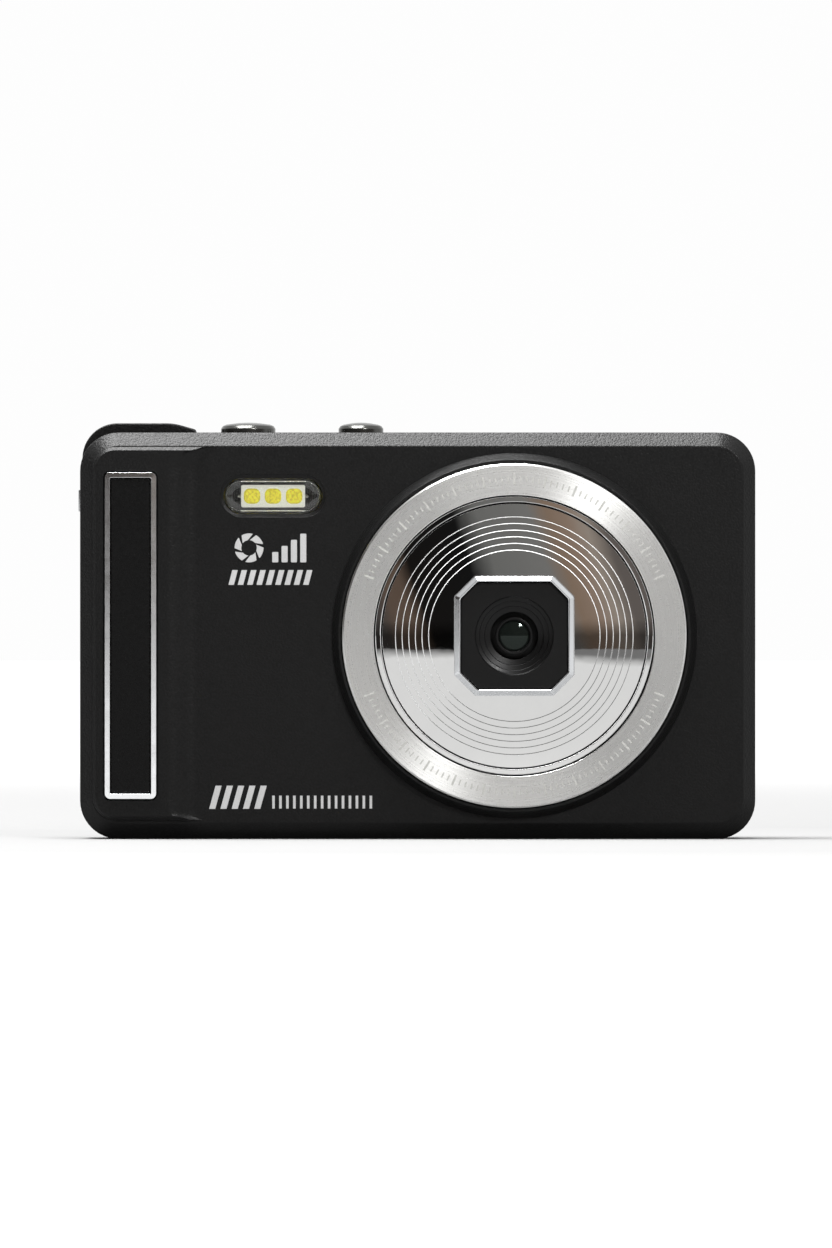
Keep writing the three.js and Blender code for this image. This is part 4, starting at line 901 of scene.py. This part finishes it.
frame_slope = (FRAME_BAND - FRAME_CREST) / 2
frame_profile = [(0, grip_high.y), (0, grip_low.y + FRAME_STAND), (-frame_slope, grip_low.y + FRAME_FALL),
                 (frame_slope - FRAME_BAND, grip_low.y), (-FRAME_BAND, grip_low.y + FRAME_STAND),
                 (-FRAME_BAND, grip_high.y)]
frame_outline = around(grip_low, grip_high, 0, FRAME_CORNER, 8, 0.25)
grip_ring = prism("grip_ring", frame_outline, held(soften(frame_profile, 0.02, 3), 0.03), closed=True)
satin_chrome_plate = plated("satin_chrome_plate", "#F0F1F2", 0.05, 2.0, 0.001)
fit(grip_ring, satin_chrome_plate, "bright_chrome", "grip_frame", smooth=25)

inlay_low, inlay_high = mm(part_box("grip_inlay"))
strip_outline = around(inlay_low, inlay_high, 0, 0.3, 8, 0.05)
grip_strip = slab("grip_strip", strip_outline, inlay_low.y, inlay_high.y, 0.6, 0.15)
gloss_black_abs = moulded_abs("gloss_black_abs", "#0A0A0A", 0.26, 0.6, 0.002, 0.05, 0.13)
fit(grip_strip, gloss_black_abs, "inlay_plastic", "grip_inlay")

# ------------------------------------------------------------------------------------------------
# Light. Behind a clear polycarbonate window sits a white ceramic strip with three domes of yellow
# phosphor and a solder pad at each end.

LAMP_PITCH = 3.27
LAMP_HALF_WIDTH = 1.3
LAMP_HALF_HEIGHT = 1.2
SOLDER_PAD_PLACE = 5.25


def clear_moulding(name, colour, roughness):
    """Moulded clear polycarbonate: see-through, with slight flow lines and a few dust specks."""
    material, tree, place = begin(name)
    gloss = remap(tree, noise(tree, place, 0.25, 3.0), 0.62, 0.8, roughness, roughness + 0.2)
    return finish(material, {"Base Color": linear(colour), "IOR": 1.58, "Roughness": gloss,
                             "Transmission Weight": 1.0,
                             "Normal": bumped(tree, noise(tree, place, 2.2, 2.0), 0.15, 0.01)})


light_x, light_z = middle(light_low, light_high)
light_flange = light_high.y - 0.35
light_profile = [(-1.2, light_low.y), (0, light_low.y), (0, light_flange), (LIGHT_FLANGE, light_flange),
                 (LIGHT_FLANGE, light_high.y), (-1, light_high.y)]
light_outline = around(light_low, light_high, -LIGHT_FLANGE, None, 20)
light_lens = prism("light_lens", light_outline, soften(light_profile, 0.2, 5))
clear_polycarbonate = clear_moulding("clear_polycarbonate", "#F4F7F5", 0.02)
fit(light_lens, clear_polycarbonate, "clear_plastic", "light_window")

led_low, led_high = mm(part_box("led_array"))
# The strip and the domes glow faintly with painted light. It stands in for the light that reaches them
# through the clear window; the lamp itself is not lit.
white_ceramic = moulded_abs("white_ceramic", "#DEDCD2", 0.5, 0.12, 0.004, 0.05, glow=("#EAE6DE", 0.5))
fit(block("led_plate", led_low, led_high, 0.15), white_ceramic, "led_phosphor", "led_array")
yellow_phosphor = moulded_abs("yellow_phosphor", "#DCCB38", 0.6, 0.35, 0.02, 0.3, glow=("#E6DC54", 0.46))
tinned_copper = plated("tinned_copper", "#B8B6B0", 0.25)
dome_profile = [(-0.7, led_low.y - 0.3), (-0.25, led_low.y - 0.22), (0, led_low.y), (0, led_low.y + 0.1)]
for i in (-1, 0, 1):
    x = light_x + i * LAMP_PITCH
    gel = growing(x - LAMP_HALF_WIDTH, x + LAMP_HALF_WIDTH, light_z - LAMP_HALF_HEIGHT,
                  light_z + LAMP_HALF_HEIGHT, 0.9, 8)
    fit(prism(f"phosphor_dome_{i + 2}", gel, soften(dome_profile, 0.25)), yellow_phosphor, "led_phosphor")
solder_profile = [(0, led_low.y + 0.35), (0.25, led_low.y + 0.4), (0.4, led_high.y), (0, led_high.y)]
for i, side in enumerate((-1, 1)):
    spot = (light_x + side * SOLDER_PAD_PLACE, light_z)
    fit(turned(f"solder_pad_{i + 1}", solder_profile, spot, along_y, 24), tinned_copper, "led_phosphor")

# ------------------------------------------------------------------------------------------------
# Shutter and power buttons. Turned caps with a low dome and a smoked chrome finish; a flange under the
# top wall keeps each one in and a post works its switch.

BUTTON_POST = 1.2
BUTTON_SHOULDER = 0.85
flange_top = case_high.z - CASE_WALL - 0.15
flange_low = flange_top - 0.45
smoked_chrome_plate = plated("smoked_chrome_plate", "#565654", 0.2, 0.9, 0.006)
for node in ("shutter_button", "power_button"):
    low, high = mm(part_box(node))
    radius = half_width(low, high) - BUTTON_FLANGE
    rim = high.z - 0.95
    dome_edge = radius - BUTTON_SHOULDER
    profile = soften([(0, low.z), (BUTTON_POST, low.z), (BUTTON_POST, flange_low),
                      (radius + BUTTON_FLANGE, flange_low), (radius + BUTTON_FLANGE, flange_top),
                      (radius, flange_top), (radius, rim), (radius - 0.3, rim + 0.42),
                      (dome_edge, high.z - 0.3)], 0.25, 4)
    profile += [(dome_edge * (1 - i / 12), high.z - 0.33 * (1 - i / 12) ** 2) for i in range(1, 13)]
    cap = turned(node + "_cap", profile, middle(low, high, "xy"), along_z, 128)
    fit(cap, smoked_chrome_plate, "bright_chrome", node, body=node)

# ------------------------------------------------------------------------------------------------
# Screen. A chemically hardened glass, printed black round its edge, is glued into the recess; the
# display shines through its middle.

PRINT_SIDE = 3.0
PRINT_ENDS = 3.4


def printed_glass(name, centre, half):
    """Gloss glass over a display: black print round the edge, a blue-black active area, fine smears."""
    material, tree, place = begin(name)
    out = vector_node(tree, "SUBTRACT", place, (centre[0] * MM, 0, centre[1] * MM))
    parts = add(tree, "SeparateXYZ", {"Vector": vector_node(tree, "ABSOLUTE", out)}).node
    across = math_node(tree, "LESS_THAN", parts.outputs["X"], half[0] * MM)
    up = math_node(tree, "LESS_THAN", parts.outputs["Z"], half[1] * MM)
    colour = add(tree, "Mix", {"Factor": math_node(tree, "MULTIPLY", across, up), "A": linear("#060606"),
                               "B": linear("#15181C")}, "Result", data_type="RGBA")
    smear = noise(tree, place, 14, 6.0, Roughness=0.7)
    return finish(material, {"Base Color": colour, "IOR": 1.51,
                             "Roughness": remap(tree, smear, 0.45, 0.8, 0.03, 0.14)})


active_half = (half_width(window_low, window_high) - PRINT_SIDE,
               (window_high.z - window_low.z) / 2 - PRINT_ENDS)
edge_printed_glass = printed_glass("edge_printed_glass", middle(window_low, window_high), active_half)
screen_glass = slab("screen_glass", window_outline, window_low.y, window_high.y, 1, 0.12)
fit(screen_glass, edge_printed_glass, "screen_glass", "screen_window")

# ------------------------------------------------------------------------------------------------
# Rear keys. Moulded caps of a smoother black ABS with a rounded edge, a flange behind the wall and a
# short post; each carries a plain printed sign.

KEY_FLANGE_THICK = 0.4
KEY_POST = 0.9
INK = 0.03
INK_HOLD = 0.05
NAV_SIGN = [(1.1, 0), (-0.5, 0.95), (-0.5, -0.95)]
KEY_SIGNS = {"play_key": [(-1.1, 0), (0.7, -1.0), (0.7, 1.0)],
             "menu_key": [(1.2, 0.25), (-1.2, 0.25), (-1.2, -0.25), (1.2, -0.25)],
             "delete_key": [(0.8, 0.9), (-0.8, 0.9), (-0.6, -1.0), (0.6, -1.0)],
             "mode_key": [(0, 1.1), (-1.1, 0), (0, -1.1), (1.1, 0)],
             "ok_key": arc((0, 0), 1.2, 0, 348.75, 31)}
key_flange_back = rear_wall - 0.15
key_flange_front = key_flange_back - KEY_FLANGE_THICK
smooth_black_abs = moulded_abs("smooth_black_abs", "#161616", 0.32, 0.3, 0.006, 0.08)
light_grey_ink = moulded_abs("light_grey_ink", "#B5B5B5", 0.55, 0.08, 0.004, 0.15)


def printed(name, outline, surface, outwards, body):
    """A flat print on a face that looks along y: a film of ink let a little way into it."""
    levels = (surface - outwards * INK_HOLD, surface + outwards * INK)
    mark = skin(name, [[(u, level, v) for u, v in outline] for level in levels])
    fit(mark, light_grey_ink, "shell_plastic", body=body, smooth=None)


for name, outline in key_outlines.items():
    low, high = mm(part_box(name))
    profile = [(-0.9, high.y), (0, high.y), (0, key_flange_back), (KEY_FLANGE, key_flange_back),
               (KEY_FLANGE, key_flange_front), (-0.9, key_flange_front)]
    cap = prism(name + "_cap", outline, soften(profile, 0.22, 5))
    turn = 0
    centre = middle(low, high)
    if name in NAV_ANGLES:
        turn = NAV_ANGLES[name]
        centre = (pad_centre[0] + NAV_MIDDLE * math.cos(turn), pad_centre[1] + NAV_MIDDLE * math.sin(turn))
    shape_with(cap, [rod("post", centre, KEY_POST, low.y, key_flange_front + 0.2, along_y, 24)], "UNION")
    fit(cap, smooth_black_abs, "shell_plastic", name, body=name)
    cos, sin = math.cos(turn), math.sin(turn)
    sign = [(centre[0] + x * cos - z * sin, centre[1] + x * sin + z * cos)
            for x, z in KEY_SIGNS.get(name, NAV_SIGN)]
    printed(name + "_sign", sign, high.y, 1, name)

# ------------------------------------------------------------------------------------------------
# Zoom rocker. A chromed bar with round ends on a cross axle between two lugs; a groove in its middle
# tells the thumb where it is.

POST_SWING = 0.55  # how far a post's end needs to stand off the board to tilt freely
POST_PLACE = 6
GROOVE_PITCH = 0.9
GROOVE_HALF = 1.6
under = rear_wall - 0.8
rocker = prism("rocker", rocker_outline, soften([(-1.2, rocker_high.y), (0, rocker_high.y), (0, under),
                                                 (-1, under)], 0.35, 6))
post_end = max(rocker_low.y, mm(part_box("rear_key_board"))[1].y + POST_SWING)
rocker_parts = [straight("axle", round_at((rocker_x, pivot_y), PIVOT_RADIUS, 8), rocker_z - lug_end,
                         rocker_z + lug_end, along_z),
                block("heel", (rocker_x - 1, pivot_y - PIVOT_RADIUS, rocker_foot + 0.2),
                      (rocker_x + 1, under + 0.2, rocker_head - 0.2))]
for side in (-1, 1):
    rocker_parts.append(rod("post", (rocker_x + side * POST_PLACE, rocker_z), KEY_POST, post_end, under + 0.2,
                            along_y, 24))
shape_with(rocker, rocker_parts, "UNION")
grooves = [straight("groove", round_at((rocker_x + i * GROOVE_PITCH, rocker_high.y + 0.12), 0.3, 5),
                    rocker_z - GROOVE_HALF, rocker_z + GROOVE_HALF, along_z) for i in (-1, 0, 1)]
shape_with(rocker, grooves)
fit(rocker, bright_chrome_plate, "bright_chrome", "zoom_rocker", body="zoom_rocker", smooth=28)

# ------------------------------------------------------------------------------------------------
# Battery door. A plate of the case's ABS with two ribs that press on the cell; its knuckle turns on a
# steel pin between the case's two ears, and a ribbed patch gives the thumb a hold.

DOOR_THICK = 1.3
RIB_THICK = 0.8
HOLD_PITCH = 0.9
plate_end = pin_centre[0] - HINGE_RADIUS - SWING_GAP
door_top = DOOR_FACE + DOOR_THICK
battery_low, battery_high = mm(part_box("battery"))
door = block("door", (door_low.x, door_low.y, DOOR_FACE), (plate_end, door_high.y, door_top), 0.12, along_z)
door_parts = [rod("knuckle", pin_centre, HINGE_RADIUS, knuckle_front, knuckle_back, along_y, 48),
              block("arm", (plate_end - 0.5, knuckle_front, DOOR_FACE),
                    (pin_centre[0], knuckle_back, door_top), 0.05, along_z)]
for front in (battery_low.y + 1, battery_high.y - 1 - RIB_THICK):
    door_parts.append(block("rib", (battery_low.x + 2, front, door_top - 0.2),
                            (battery_high.x - 2, front + RIB_THICK, door_high.z), 0.08, along_z))
shape_with(door, door_parts, "UNION")
door_cuts = [straight("door_bore", round_at(pin_centre, PIN_BORE, 8), door_low.y - PAST, door_high.y + PAST)]
for i in range(6):
    left = door_low.x + 2 + HOLD_PITCH * i
    hold = growing(left, left + 0.4, door_low.y + 1.4, door_high.y - 1.4, None, 5)
    door_cuts.append(straight("hold", hold, DOOR_FACE - PAST, DOOR_FACE + 0.25, along_z))
shape_with(door, door_cuts)
fit(door, satin_black_abs, "shell_plastic", "battery_door", body="battery_door")


def drawn_metal(name, colour, roughness, line_size, stretch, depth):
    """Drawn or rolled metal: fine lines along one way, cloudy tarnish and uneven gloss."""
    material, tree, place = begin(name)
    lines = noise(tree, vector_node(tree, "MULTIPLY", place, stretch), line_size, 3.0)
    tone = remap(tree, noise(tree, place, 4, 4.0), 0, 1, 0.82, 1.12)
    return finish(material, {"Base Color": tinted(tree, colour, tone), "Metallic": 1.0,
                             "Roughness": remap(tree, lines, 0.3, 0.7, roughness - 0.05, roughness + 0.1),
                             "Normal": bumped(tree, lines, 0.4, depth)})


nickel_plated_steel = drawn_metal("nickel_plated_steel", "#B9BABB", 0.26, 0.15, (1, 0.08, 1), 0.004)
rolled_tin_plate = drawn_metal("rolled_tin_plate", "#A9ACAE", 0.34, 0.2, (1, 1, 0.06), 0.004)
pin = slab("hinge_pin", round_at(pin_centre, 0.5, 8), pin_low.y, pin_high.y, 0.3, 0.1)
fit(pin, nickel_plated_steel, "sheet_steel", "door_pin")

# ------------------------------------------------------------------------------------------------
# Fixings in the foot and sides: the brass tripod socket with its cut thread, the steel strap bar and
# six cover screws with a crosswise slot.

THREAD_PITCH = 1.27
THREAD_MAJOR = 3.2
THREAD_DEPTH = 0.55
STRAP_PROUD = 0.25
SCREW_END = 3.6
tarnished_brass = drawn_metal("tarnished_brass", "#A98A4C", 0.3, 0.12, (1, 1, 0.1), 0.004)
socket_profile = [(THREAD_MAJOR, socket_low.z), (socket_radius - 0.2, socket_low.z),
                  (socket_radius, socket_low.z + 0.2), (socket_radius, socket_high.z),
                  (THREAD_MAJOR, socket_high.z)]
for i in range(int((socket_high.z - socket_low.z - 0.8) / THREAD_PITCH), 0, -1):
    level = socket_low.z + 0.5 + i * THREAD_PITCH
    socket_profile += [(THREAD_MAJOR, level), (THREAD_MAJOR - THREAD_DEPTH, level - THREAD_PITCH * 0.4),
                       (THREAD_MAJOR - THREAD_DEPTH, level - THREAD_PITCH * 0.55)]
socket_profile.append((THREAD_MAJOR, socket_low.z + 0.4))
threaded_socket = turned("threaded_socket", socket_profile, socket_centre, along_z, 96)
fit(threaded_socket, tarnished_brass, "contact_brass", "tripod_socket")
strap_bar = block("strap_rod", bar_low - Vector((STRAP_PROUD, 0, 0)), bar_high, 0.2, along_z)
fit(strap_bar, nickel_plated_steel, "sheet_steel", "strap_bar")

black_steel = drawn_metal("black_oxide_steel", "#3A3A3C", 0.36, 0.1, (1, 1, 1), 0.003)
for name in screw_names:
    way, (u, v), surface, inwards = screw_seat(name)
    depths = [(0, 0.15), (0.9, 0.15), (SCREW_HEAD - 0.1, 0.3), (SCREW_HEAD, 0.75), (0.7, 0.75),
              (0.7, SCREW_END - 0.2), (0.5, SCREW_END), (0, SCREW_END)]
    profile = [(radius, surface + inwards * depth) for radius, depth in depths]
    head = turned(name + "_head", soften(profile, 0.1, 3), (u, v), way, 48)
    slots = []
    for width, height in ((0.85, 0.2), (0.2, 0.85)):
        arm = lambda grow: rounded_rectangle(u - width - grow, u + width + grow, v - height - grow,
                                             v + height + grow, 0.05, 2)
        slots.append(prism("slot", arm, [(0.05, surface), (-0.08, surface + inwards * 0.6)], way))
    shape_with(head, slots)
    fit(head, black_steel, "sheet_steel", name)

# ------------------------------------------------------------------------------------------------
# USB socket and memory card in the right side. The socket is a drawn steel shell with a black tongue
# moulded into it; the card shows its edge and slides out.

USB_SHELL = 0.35
USB_FLOOR = 0.7
CONTACT_PITCH = 1.5
usb_floor = usb_low.x + USB_FLOOR
usb_profile = [(0, usb_low.x), (0, usb_high.x), (-USB_SHELL, usb_high.x), (-USB_SHELL, usb_floor),
               (-1.2, usb_floor)]
usb_shell = prism("usb_shell", around(usb_low, usb_high, 0, None, 10, axes="yz"),
                  [(-1.2, usb_low.x)] + soften(usb_profile, 0.06, 2), along_x)
fit(usb_shell, nickel_plated_steel, "sheet_steel", "usb_connector")
usb_y = (usb_low.y + usb_high.y) / 2
usb_tongue = block("usb_tongue", (usb_low.x + 0.6, usb_y - 0.35, usb_low.z + 1.4),
                   (usb_high.x - 1, usb_y + 0.35, usb_high.z - 1.4), 0.08, along_x)
fit(usb_tongue, smooth_black_abs, "sheet_steel")

matte_black_card = moulded_abs("matte_black_card", "#121214", 0.42, 0.2, 0.005, 0.08)
card = block("card_body", card_low, card_high, 0.12, along_x)
fit(card, matte_black_card, "black_chip", "memory_card", body="memory_card")
for i in range(6):
    z = card_low.z + 1.7 + CONTACT_PITCH * i
    contact = block(f"card_contact_{i + 1}", (card_low.x + 0.5, card_low.y - 0.02, z),
                    (card_low.x + 3.4, card_low.y + 0.05, z + 0.9), 0.01)
    fit(contact, tarnished_brass, "contact_brass", body="memory_card", smooth=None)

# ------------------------------------------------------------------------------------------------
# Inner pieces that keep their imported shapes: boards, chips, shields, cell, glass and holders. Each gets
# the finish of its real material.


def solder_mask(name, colour):
    """Solder mask on glass fibre: glossy lacquer over a faint weave with tracks below it."""
    material, tree, place = begin(name)
    weave = add(tree, "TexWave", {"Vector": place, "Scale": 1 / (1.2 * MM), "Distortion": 1.5}, "Fac")
    tracks = add(tree, "TexVoronoi", {"Vector": place, "Scale": 1 / (2.6 * MM)}, "Distance",
                 distance="CHEBYCHEV")
    return finish(material, {"Base Color": tinted(tree, colour, remap(tree, tracks, 0.42, 0.5, 0.8, 1.5)),
                             "IOR": 1.5, "Roughness": remap(tree, weave, 0, 1, 0.25, 0.4),
                             "Normal": bumped(tree, weave, 0.2, 0.01)})


black_epoxy = moulded_abs("black_epoxy", "#191919", 0.5, 0.15, 0.006, 0.1)
carried = {
    solder_mask("black_solder_mask", "#1E1E1E"): ("light_board",),
    solder_mask("green_solder_mask", "#1C4A30"): ("sensor_board", "top_button_board", "rear_key_board",
                                                  "main_board"),
    black_epoxy: ("image_sensor", "speaker", "shutter_switch", "power_switch"),
    matte_black_polycarbonate: ("lens_holder", "battery_box"),
    rolled_tin_plate: ("microphone", "screen_tray", "processor_shield", "card_slot"),
    tarnished_brass: ("battery_contacts",),
    moulded_abs("grey_shrink_wrap", "#3A3F46", 0.38, 2.0, 0.02, 0.06): ("battery",),
    moulded_abs("amber_polyimide_film", "#9C5A1C", 0.3, 1.0, 0.006, 0.1): ("sensor_ribbon",),
    inner_glass: ("rear_lens",),
    filter_glass: ("infrared_filter",),
    edge_printed_glass: ("screen_panel",),
}
for material, nodes in carried.items():
    for name in nodes:
        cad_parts[name].data.materials.clear()
        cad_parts[name].data.materials.append(material)

# ------------------------------------------------------------------------------------------------
# Printed marks on the front, in light grey pad-printed ink: a plain aperture sign beside four level
# blocks, with a row of slanted strokes under them, and two rows of strokes at the foot of the face.

MARK_CENTRE = (-26.2, 45.25)
BLADE_OUTER = 2.25
BLADE_INNER = 1.2
LEVEL_PITCH = 1.45
for i in range(6):
    a = 60 * i + 15
    blade = arc(MARK_CENTRE, BLADE_OUTER, a, a + 46, 8) + arc(MARK_CENTRE, BLADE_INNER, a + 70, a + 24, 8)
    printed(f"aperture_blade_{i + 1}", blade, face_y, -1, "casing")
for i in range(4):
    left = -22.6 + LEVEL_PITCH * i
    level = rounded_rectangle(left, left + 0.95, 43.0, 44.6 + 0.95 * i, 0.15, 3)
    printed(f"level_block_{i + 1}", level, face_y, -1, "casing")

# Each row of strokes: name, count, left end, pitch, foot, width, height and lean.
for name, count, first, pitch, foot, width, height, lean in (
        ("upper_stroke", 9, -29.4, 1.45, 39.5, 0.85, 2.3, 0.6),
        ("large_stroke", 5, -32.4, 1.75, 4.7, 0.95, 3.6, 1.0),
        ("small_stroke", 15, -22.6, 1.08, 4.75, 0.4, 2.0, 0.0)):
    for i in range(count):
        left = first + pitch * i
        right = left + width
        top = foot + height
        stroke = [(left, foot), (right, foot), (right + lean, top), (left + lean, top)]
        printed(f"{name}_{i + 1}", stroke, face_y, -1, "casing")

# The scale on the broad ring: short strokes of pale filling in two arcs, every fifth one longer.
SCALE_STROKES = 61
SCALE_SPAN = 136
scale_ink = moulded_abs("pale_scale_ink", "#B0B0AC", 0.5, 0.1, 0.004)
for first, group in ((22, "upper"), (202, "lower")):
    shape = bmesh.new()
    for i in range(SCALE_STROKES):
        angle = math.radians(first + SCALE_SPAN * i / (SCALE_STROKES - 1))
        tall, half = (0.45, 0.11) if i % 5 else (0.85, 0.16)
        radial = Vector((math.cos(angle), math.sin(angle)))
        across = Vector((-radial.y, radial.x)) * half
        inner, outer = (Vector(lens_centre) + radial * (ring_radius - RING_WIDTH / 2 + side * tall)
                        for side in (-1, 1))
        corners = (inner - across, inner + across, outer + across, outer - across)
        verts = [shape.verts.new((p.x * MM, y * MM, p.y * MM)) for y in (ring_low.y + 0.05, ring_low.y - 0.02)
                 for p in corners]
        for face in ((0, 1, 2, 3), (7, 6, 5, 4), (0, 4, 5, 1), (1, 5, 6, 2), (2, 6, 7, 3), (3, 7, 4, 0)):
            shape.faces.new([verts[k] for k in face])
    fit(as_object(group + "_scale", shape), scale_ink, "satin_aluminium", smooth=None)

# ------------------------------------------------------------------------------------------------
# Studio, in metres: a pale floor that glows more and more away from the object and fades out far in
# front of it, an overhead softbox, a key from the upper right, and a room that is white behind the
# object and dark in front of it.

FLOOR_CORNERS = [(-20, -18.6, 0), (20, -18.6, 0), (20, 12, 0), (-20, 12, 0)]
floor_mesh = bpy.data.meshes.new("studio_floor")
floor_mesh.from_pydata(FLOOR_CORNERS, [], [(0, 1, 2, 3)])
floor = bpy.data.objects.new("studio_floor", floor_mesh)
bpy.context.scene.collection.objects.link(floor)
floor_paper, tree, place = begin("white_floor_paper")
fibre = add(tree, "TexNoise", {"Vector": place, "Scale": 900.0, "Detail": 3.0})
paper = tinted(tree, "#FFFFFF", remap(tree, fibre, 0, 1, 0.24, 0.26))
glow = remap(tree, vector_node(tree, "LENGTH", place, take="Value"), 0.15, 1.2, 0.0, 0.86)
spot = add(tree, "SeparateXYZ", {"Vector": place}).node
bearing = math_node(tree, "DIVIDE", spot.outputs["X"], spot.outputs["Y"])
offset = math_node(tree, "MULTIPLY_ADD", bearing, 60.0, -0.07)
spread = math_node(tree, "MULTIPLY", offset, offset, use_clamp=True)
depth = math_node(tree, "MULTIPLY", spot.outputs["Y"], math_node(tree, "MULTIPLY_ADD", spread, 0.3, 1.0))
fading = remap(tree, depth, -17.8, -13.2, 0.05, 1.0)
finish(floor_paper, {"Base Color": paper, "Roughness": 0.9, "Specular IOR Level": 0.1,
                     "Emission Color": (1.0, 1.0, 1.0, 1.0),
                     "Emission Strength": math_node(tree, "MULTIPLY", glow, fading)})
floor_mesh.materials.append(floor_paper)


def softbox(name, place, aim, size, watts):
    """A square lamp that looks at a point."""
    lamp = bpy.data.lights.new(name, "AREA")
    lamp.shape = "RECTANGLE"
    lamp.size = size
    lamp.size_y = size
    lamp.energy = watts
    holder = bpy.data.objects.new(name, lamp)
    holder.location = place
    holder.rotation_euler = (Vector(aim) - Vector(place)).to_track_quat("-Z", "Y").to_euler()
    bpy.context.scene.collection.objects.link(holder)


softbox("overhead_softbox", (-0.17, -0.03, 0.85), (-0.17, -0.03, 0), 0.5, 23.0)
softbox("key_softbox", (0.3, -0.7, 0.52), (0.015, 0, 0.03), 0.12, 4.6)

# The room's colours run from the right to the left of what stands in front of the object.
ROOM_STOPS = ((0.0, "#504C4A"), (0.06, "#6B5B50"), (0.12, "#69594E"), (0.18, "#1C1A19"), (0.41, "#1A1A1A"),
              (0.5, "#7C7C7A"), (0.7, "#868583"), (0.77, "#95806F"), (0.84, "#A08B7C"), (0.9, "#AA9E93"),
              (0.97, "#706965"))
world = bpy.data.worlds.new("studio_room")
bpy.context.scene.world = world
world.use_nodes = True
tree = world.node_tree
tree.nodes.clear()
aim = add(tree, "TexCoord", {}, "Generated")
parts = add(tree, "SeparateXYZ", {"Vector": aim}).node
whiteness = vector_node(tree, "DOT_PRODUCT", aim, (0.34, 0.8, 0.82), take="Value")
behind = remap(tree, whiteness, -0.02, 0.3, 0, 1, interpolation_type="SMOOTHSTEP")
rise = math_node(tree, "DIVIDE", parts.outputs["Z"], parts.outputs["Y"])
across = math_node(tree, "DIVIDE", parts.outputs["X"], parts.outputs["Y"])
side = math_node(tree, "MULTIPLY_ADD", rise, 0.35, across)
room = add(tree, "ValToRGB", {"Fac": remap(tree, side, 0.0021, -0.0143, 0, 1)})
stops = room.node.color_ramp.elements
while len(stops) < len(ROOM_STOPS):
    stops.new(0.5)
for element, (position, colour) in zip(stops, ROOM_STOPS):
    element.position = position
    element.color = linear(colour)
above = remap(tree, rise, 0.0007, -0.0003, 0.3, 1.0)
wall = add(tree, "VectorMath", {0: room, "Scale": above}, operation="SCALE")
light = add(tree, "Mix", {"Factor": behind, "A": wall, "B": (0.985, 0.985, 0.985, 1.0)}, "Result",
            data_type="RGBA")
add(tree, "OutputWorld", {"Surface": add(tree, "Background", {"Color": light, "Strength": 1.0})})

# The camera stands level with the middle of the case, head on.
CAMERA_DISTANCE = 2.5
CAMERA_HEIGHT = 33.42 * MM
CAMERA_SIDE = -0.26 * MM
SENSOR = 36.0
VIEW_HEIGHT = 0.1939
camera_data = bpy.data.cameras.new("view_camera")
camera_data.sensor_fit = "AUTO"
camera_data.sensor_width = SENSOR
camera_data.lens = SENSOR * CAMERA_DISTANCE / VIEW_HEIGHT
camera = bpy.data.objects.new("view_camera", camera_data)
camera.location = (CAMERA_SIDE, face_y * MM - CAMERA_DISTANCE, CAMERA_HEIGHT)
camera.rotation_euler = (math.pi / 2, 0, 0)
bpy.context.scene.collection.objects.link(camera)
bpy.context.scene.camera = camera
bpy.context.scene.view_settings.view_transform = "Standard"
